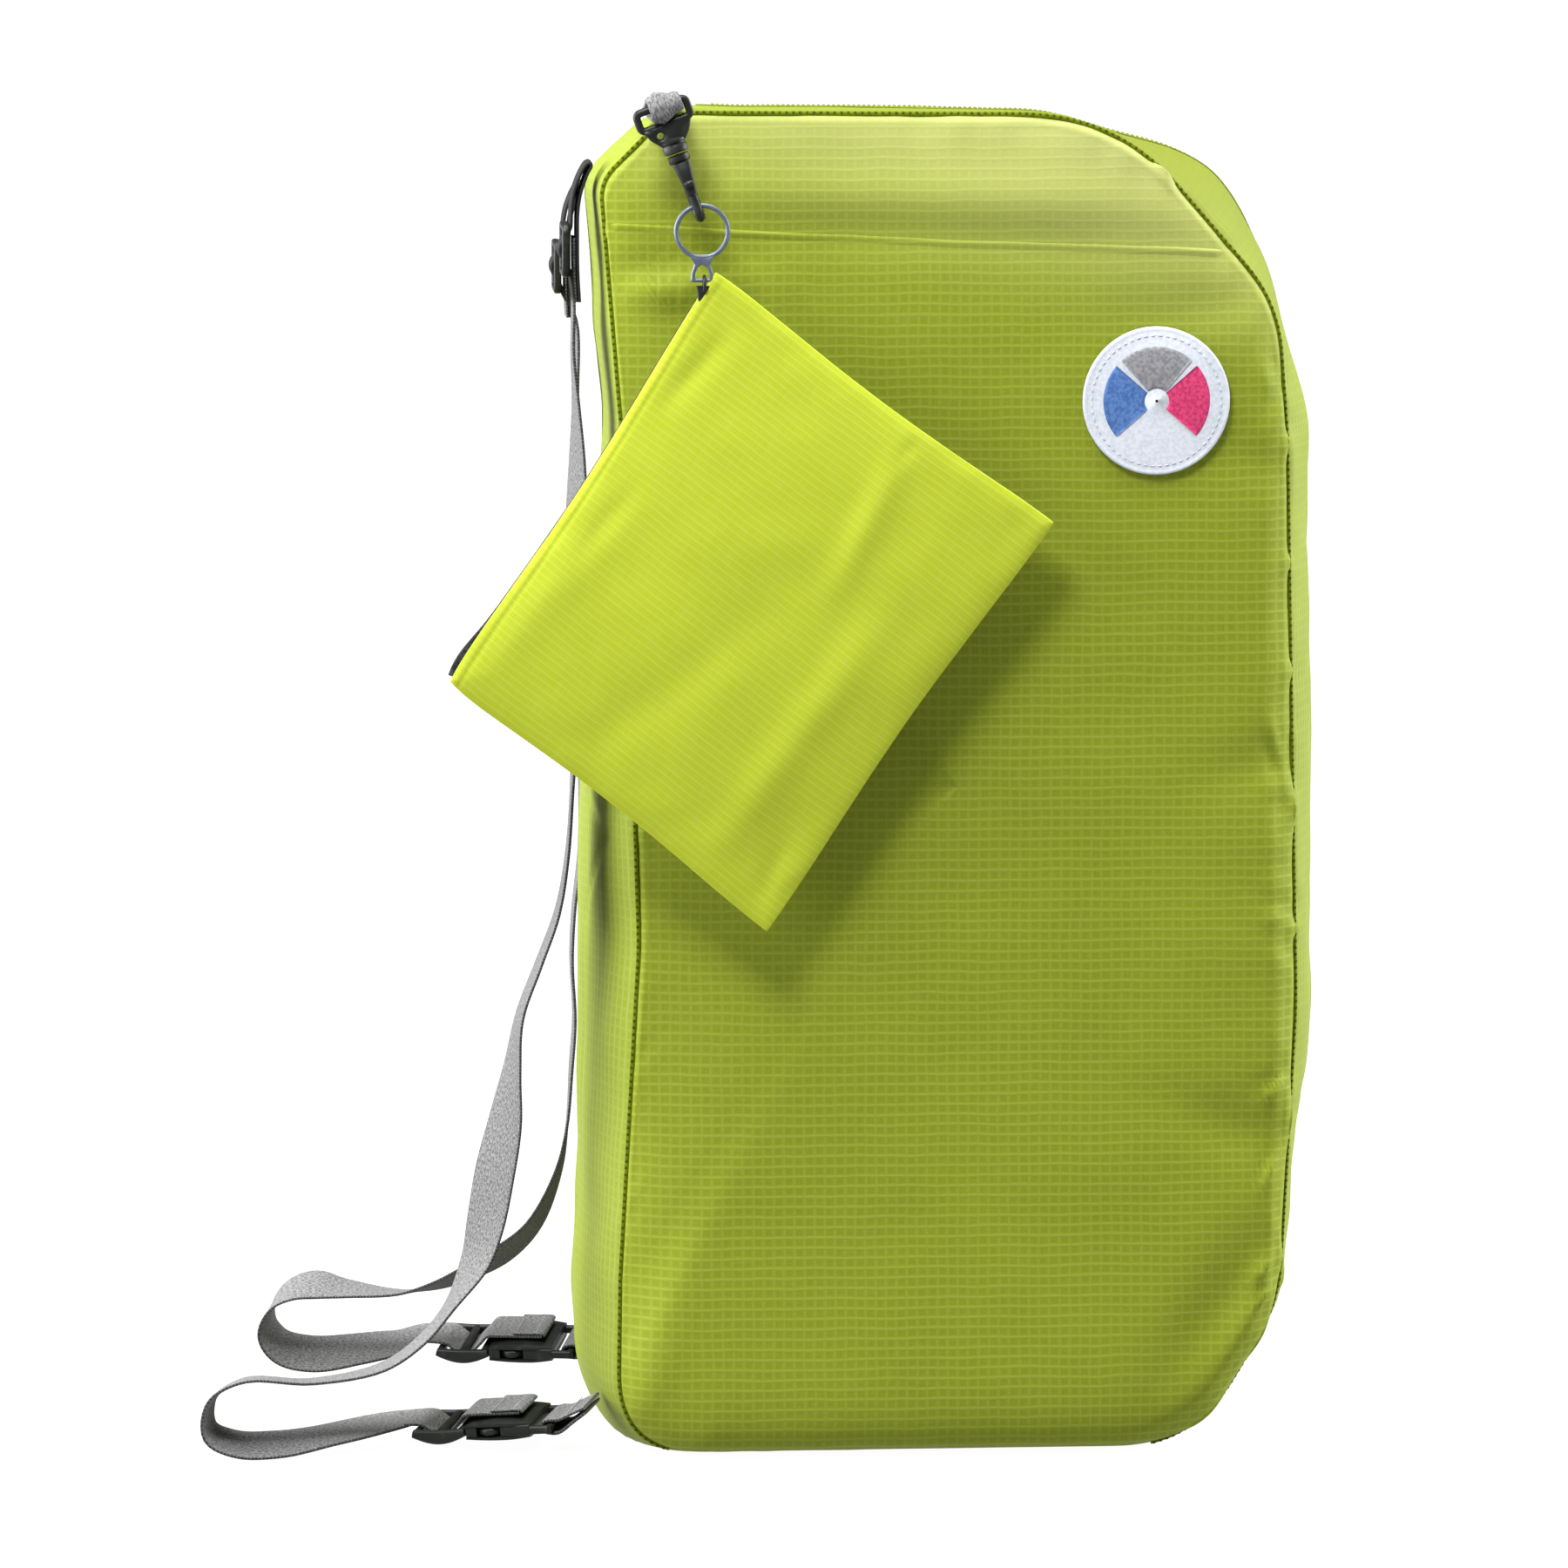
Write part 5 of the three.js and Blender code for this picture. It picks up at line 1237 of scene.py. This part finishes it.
def hook():
    """A swivel snap hook: strap eye with bell and barrel, a J with its collar, and a tapered sprung gate."""
    bearings = np.linspace(0, 2 * np.pi, 48, endpoint=False)
    hole = EYE_HOLE + EYE_HOLE_RADIUS * stacked(np.cos(bearings), np.sin(bearings))
    bell = ring_plate(hole, loop_seen_from(EYE_HOLE, EYE_BELL, bearings), 4.4, 0.6)
    eye_loop = rounded_loop(*EYE_LOOP)
    path = stacked(eye_loop[:, 0], 0, eye_loop[:, 1])
    eye = sweep(path, (0, 1, 0), rounded_section(4.4, 2.5, 3.5, 16), closed=True)
    part = turned(join(bell, eye, lathe(EYE_BARREL)), HOOK_TILT, HOOK_AT)
    make_piece("hook_strap_eye", part, ACETAL, "bag", ("hook_eye",), sharp=50)

    bend = np.linspace(0, np.pi, 13)
    wire = np.concatenate([
        [(0, 1.2, -1.4), (0, 3.6, -4.5), (0, HOOK_BEND, -9)],
        stacked(0, HOOK_BEND * np.cos(bend), -HOOK_DROP - HOOK_BEND * np.sin(bend)),
        [(0, -HOOK_BEND, -HOOK_DROP + 3.2)],
    ])
    wire = smooth_path(wire, 3)
    along = np.linspace(0, 1, len(wire))
    slim = 1.0 - 0.22 * eased((along - 0.35) / 0.3)
    rod = tube(wire, (1, 0, 0), HOOK_ROD, 14, stacked(slim, slim))
    part = turned(join(rod, lathe(HOOK_COLLAR)), HOOK_TILT, HOOK_AT)
    make_piece("hook_j", part, ACETAL, "hook", ("hook_shank",), sharp=60)

    lever = smooth_path(GATE_ROUTE, 6)
    share = np.linspace(0, 1, len(lever))
    scale = stacked(1.5 - 0.65 * share, 1.0 - 0.1 * share)
    blade = sweep(lever, (1, 0, 0), rounded_section(4.0, 3.0, 2.6, 18), scale)
    thumb = beads(THUMB_AT, np.array([(1.0, 0, 0)]), np.array([(0, -1.0, 0)]), *THUMB_SIZE, 10)
    part = turned(join(blade, thumb), HOOK_TILT, HOOK_AT)
    make_piece("hook_gate_lever", part, ACETAL, "gate", ("hook_gate",), sharp=60)


def hook_webbing():
    """The gathered loop of webbing that goes round the eye's top bar and lies on the bag behind it."""
    path = smooth_path(stacked(LOOP_SHIFT, LOOP_ROUTE[:, 0], LOOP_BAR + LOOP_ROUTE[:, 1]), 8)
    gather = hump(path[:, 1] / 9)[:, None]
    across, face = frames(path, (1, 0, 0))
    side, out = rounded_section(12.2, 1.6, 4, 40).T
    wave = gather * (0.9 * np.sin(0.4 - side * 0.45) + 0.2 * np.sin(side * 1.9))
    first = side * (1 - 0.12 * gather)
    second = out * (1 + 0.5 * gather) + wave
    points = path[:, None] + across[:, None] * first[..., None] + face[:, None] * second[..., None]
    uv = stacked(np.append(side, side[0])[None], lengths_along(path)[:, None])
    part = closed_ends(patch(points, False, True, uv, flip=True), *points.shape[:2])
    part = turned(part, HOOK_TILT, HOOK_AT)
    make_piece("hook_loop_webbing", part, WEBBING, "bag", ("hook_loop",), sharp=50)


def ring_pull():
    """A round wire ring with a flat splayed tail that has an arched eye."""
    angle = 2 * np.pi * np.arange(64) / 64
    circle = RING_RADIUS * stacked(np.cos(angle), 0, np.sin(angle))
    wire = tube(circle, (0, 1, 0), RING_WIRE / 2, 14, closed=True)
    bearings = np.linspace(0, 2 * np.pi, 48, endpoint=False)
    hole, outline = (loop_seen_from(TAIL_MIDDLE, loop, bearings) for loop in (TAIL_HOLE, TAIL_OUTLINE))
    tail = ring_plate(hole, outline, 1.5, 0.4)
    part = turned(join(wire, tail), 0, RING_AT)
    make_piece("ring_pull", part, RING_METAL, "pouch", ("pull_ring",), sharp=50)


def pouch_flat(a, b):
    """Place in the pouch's plane: four corners mixed, edges pulled in between them, corners rounded off."""
    u, v = 2 * a - 1, 2 * b - 1
    worn = np.where(v < 0, np.where(u > 0, 0.012, 0.02), 0.006)
    trim = worn * np.abs(u) ** 9 * np.abs(v) ** 9
    a, b = (u * (1 - trim) + 1) / 2, (v * (1 - trim) + 1) / 2
    a, b = a[..., None], b[..., None]
    zip_side = POUCH_LEFT * (1 - a) + POUCH_TOP * a
    far_side = POUCH_BOTTOM * (1 - a) + POUCH_RIGHT * a
    flat = zip_side * (1 - b) + far_side * b
    middle = (POUCH_LEFT + POUCH_TOP + POUCH_RIGHT + POUCH_BOTTOM) / 4
    pull = np.abs(2 * a - 1) ** 6 * np.sin(np.pi * b) + np.abs(2 * b - 1) ** 6 * np.sin(np.pi * a)
    return flat + unit(middle - flat) * POUCH_PULL * pull


def pouch_lift(a, b, flat, side):
    """Half thickness of the pouch: thin at its folded edges, puffed in the middle, with folds and puckers."""
    edge_a = np.minimum(a, 1 - a) * POUCH_LONG
    edge_b = np.minimum(b, 1 - b) * POUCH_WIDE
    away = np.minimum(edge_a, edge_b)
    puff = np.maximum(np.sin(np.pi * a) * np.sin(np.pi * b), 0) ** 0.7
    x, z = flat[..., 0], flat[..., 1]
    folds = folds_at(x, z, POUCH_FOLDS) if side < 0 else 0
    waves = layered_noise(x, z, POUCH_WAVES, 40 + side)
    gather = 0.4 * soft_noise(x, z, 8.0, 47) * np.exp(-away / 6)
    hem = sum(height * hump((edge_b - at) / wide) for height, at, wide in POUCH_HEM)
    rise = 1 - np.exp(-away / 1.6)
    loose = eased(away / 12)
    return 0.3 + rise * (0.7 + POUCH_PUFF[side] * puff + loose * (folds + waves) + gather + hem * (b < 0.5))


def pouch_sheet(name, side, node):
    """One face of the pouch over a grid that is finer at its edges."""
    even = np.linspace(-1, 1, 110)
    share = (even * (1.35 - 0.35 * even**2) + 1) / 2
    a, b = np.meshgrid(share, share, indexing="ij")
    flat = pouch_flat(a, b)
    lift = pouch_lift(a, b, flat, side)
    points = stacked(flat[..., 0], POUCH_Y + side * lift, flat[..., 1])
    uv = stacked(a * POUCH_LONG, b * POUCH_WIDE)
    part = patch(points, uv=uv, flip=side > 0)
    sheet = make_piece(name, part, POUCH_LIME, "pouch", (node,), wall=0.25)


def pouch_stitching():
    """Thread along the zip edge of the pouch."""
    a = np.linspace(0.03, 0.97, 120)
    b = np.full(120, POUCH_SEWN / POUCH_WIDE)
    flat = pouch_flat(a, b)
    lift = pouch_lift(a, b, flat, -1)
    path = stacked(flat[:, 0], POUCH_Y - lift - 0.1, flat[:, 1])
    thread = stitches(path, (0, -1, 0), *POUCH_DASH)
    make_piece("pouch_stitching", thread, POUCH_THREAD, "pouch")


def pouch_zip():
    """Zip tape along the pouch's upper left edge, turned out at its lower end, with its coil."""
    a = np.linspace(0.012, 0.93, 60)
    edge = pouch_flat(a, np.zeros(60))
    outward = unit(np.array((POUCH_LEFT[1] - POUCH_TOP[1], POUCH_TOP[0] - POUCH_LEFT[0])))
    shown = 1.7 * hump((a - 0.05) / 0.07) - 1.4
    path = edge + outward * shown[:, None]
    path = stacked(path[:, 0], POUCH_Y, path[:, 1])
    across = np.array((outward[0], 0, outward[1]))
    tape = sweep(path, across, rounded_section(3.6, 0.8, 3, 12))
    coil = stitches(path - across, across, 1.4, 1.0, 1.2)
    make_piece("pouch_zip_tape", join(tape, coil), ZIP_TAPE, "pouch", ("pouch_zip",))


def pouch_zip_slider():
    """A small zip slider: a waisted body and the bail that the ring's tail hangs on."""
    z = np.linspace(-4.2, 4.2, 13)
    path = stacked(0, 0, z)
    waist = 0.82 + 0.18 * (z / 4.2) ** 2
    scale = stacked(waist, 1)
    body = sweep(path, (1, 0, 0), rounded_section(5.4, 2.2, 4, 18), scale)
    angle = np.linspace(0, np.pi, 13)
    arch = stacked(0, -2.4 * np.cos(angle), 3.6 + 3.6 * np.sin(angle))
    arch = np.concatenate([[(0, -1.0, 2.2)], arch, [(0, 1.0, 2.2)]])
    bail = tube(arch, (1, 0, 0), 0.6, 10)
    part = turned(join(body, bail), 0, POUCH_SLIDER_AT)
    make_piece("pouch_zip_slider", part, ACETAL, "pouch", ("pouch_slider",), sharp=60)


# Top closure

def main_zip():
    """The zip on the top: a woven tape that lies on the middle of the narrow side, and a row of teeth."""
    low, high = (np.array(corner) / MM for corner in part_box("main_zip"))
    face = stacked(STATIONS["normal"][:, 0], 0, STATIONS["normal"][:, 1])
    cloth = narrow_face(np.linspace(-ZIP_HALF, ZIP_HALF, 11))
    middle = cloth[:, 5]
    inside = (middle[:, 0] > low[0]) & (middle[:, 0] < high[0]) & (middle[:, 2] > low[2])
    tape = patch(cloth[inside] + face[inside][:, None] * ZIP_LIFT)
    make_piece("main_zip_tape", tape, LIME_TAPE, "bag", ("main_zip",), wall=ZIP_THICK)
    path = middle[inside] + face[inside] * (ZIP_LIFT + ZIP_THICK + TOOTH_LIFT)
    run = lengths_along(path)
    places = np.arange(ZIP_MARGIN, run[-1] - ZIP_MARGIN, ZIP_PITCH)
    centres = sampled(places, run, path)
    up = unit(sampled(places, run, face[inside]))
    across = np.broadcast_to(np.array((0, 1.0, 0)), centres.shape)
    make_piece("main_zip_teeth", beads(centres, across, up, *TOOTH), LIME_TAPE, "bag")


# Studio

def studio():
    """A dark floor that glows white as a light of its own, less far in front of the bag, soft lights above
    and at both sides, and the camera at the photograph's angle.
    """
    bpy.ops.mesh.primitive_plane_add(size=60, location=(0, 0, FLOOR_AT))
    floor = bpy.context.object
    floor.name = "studio_floor"
    material, tree, shader = new_finish("studio_floor", 0.9)
    shader.inputs["Base Color"].default_value = (0.03, 0.03, 0.03, 1)
    # The floor's whiteness is glow, not colour: it lights the bag, less from far in front.
    shader.inputs["Emission Color"].default_value = (1, 1, 1, 1)
    parts = tree.nodes.new("ShaderNodeSeparateXYZ")
    tree.links.new(object_place(tree), parts.inputs[0])
    added = calc(tree, "MULTIPLY", ramp(tree, parts.outputs[1], FLOOR_FROM, FLOOR_TO), FLOOR_ADDED)
    tree.links.new(calc(tree, "ADD", added, FLOOR_LEAST), shader.inputs["Emission Strength"])
    floor.data.materials.append(material)

    def softbox(name, place, aim, size, power):
        light = bpy.data.lights.new(name, "AREA")
        light.shape = "RECTANGLE"
        light.size, light.size_y = size
        light.energy = power
        holder = bpy.data.objects.new(name, light)
        holder.location = place
        direction = np.array(aim, float) - np.array(place, float)
        pitch = math.atan2(math.hypot(direction[0], direction[1]), -direction[2])
        holder.rotation_euler = (pitch, 0, math.atan2(-direction[0], direction[1]))
        bpy.context.scene.collection.objects.link(holder)

    for light_row in LIGHTS:
        softbox(*light_row)
    world = bpy.data.worlds.new("studio_world")
    bpy.context.scene.world = world
    world.use_nodes = True
    tree = world.node_tree
    parts = tree.nodes.new("ShaderNodeSeparateXYZ")
    tree.links.new(tree.nodes.new("ShaderNodeTexCoord").outputs["Generated"], parts.inputs[0])
    zenith = calc(tree, "MULTIPLY", ramp(tree, parts.outputs[2], 0.8, 0.99), SKY_OVERHEAD)
    strength = calc(tree, "ADD", zenith, SKY_ROUND)
    tree.links.new(strength, tree.nodes["Background"].inputs["Strength"])
    tree.nodes["Background"].inputs["Color"].default_value = (1, 1, 1, 1)

    camera = bpy.data.cameras.new("photo_camera")
    camera.sensor_width = 36
    camera.lens = CAMERA_LENS
    camera.clip_end = 100
    holder = bpy.data.objects.new("photo_camera", camera)
    level = CAMERA_AWAY * math.cos(CAMERA_HEIGHT)
    holder.location = (
        CAMERA_AIM[0] + level * math.sin(CAMERA_BEARING),
        CAMERA_AIM[1] - level * math.cos(CAMERA_BEARING),
        CAMERA_AIM[2] + CAMERA_AWAY * math.sin(CAMERA_HEIGHT),
    )
    holder.rotation_euler = (math.pi / 2 - CAMERA_HEIGHT, 0, CAMERA_BEARING)
    bpy.context.scene.collection.objects.link(holder)
    bpy.context.scene.camera = holder
    bpy.context.scene.view_settings.view_transform = "Standard"


studio()
wide_panel("front_panel_cloth", -1, PANEL_FOLDS, 11, ("front_panel",))
wide_panel("back_panel_cloth", 1, BACK_FOLDS, 31, ("back_panel",))
narrow_side()
seam_stitching()
pressed_tuck()
badge()
for harness_name, harness_route in (("near", NEAR_ROUTE), ("far", FAR_ROUTE)):
    strap(harness_name, harness_route, BUCKLES[harness_name], SLIDERS[harness_name])
    tab(harness_name, BUCKLES[harness_name])
    tri_glide(harness_name, SLIDERS[harness_name])
    ladder_lock(harness_name, BUCKLES[harness_name])
    side_catch(harness_name, BUCKLES[harness_name])
hook()
hook_webbing()
ring_pull()
pouch_sheet("pouch_front_cloth", -1, "pouch_front")
pouch_sheet("pouch_back_cloth", 1, "pouch_back")
pouch_stitching()
pouch_zip()
pouch_zip_slider()
main_zip()
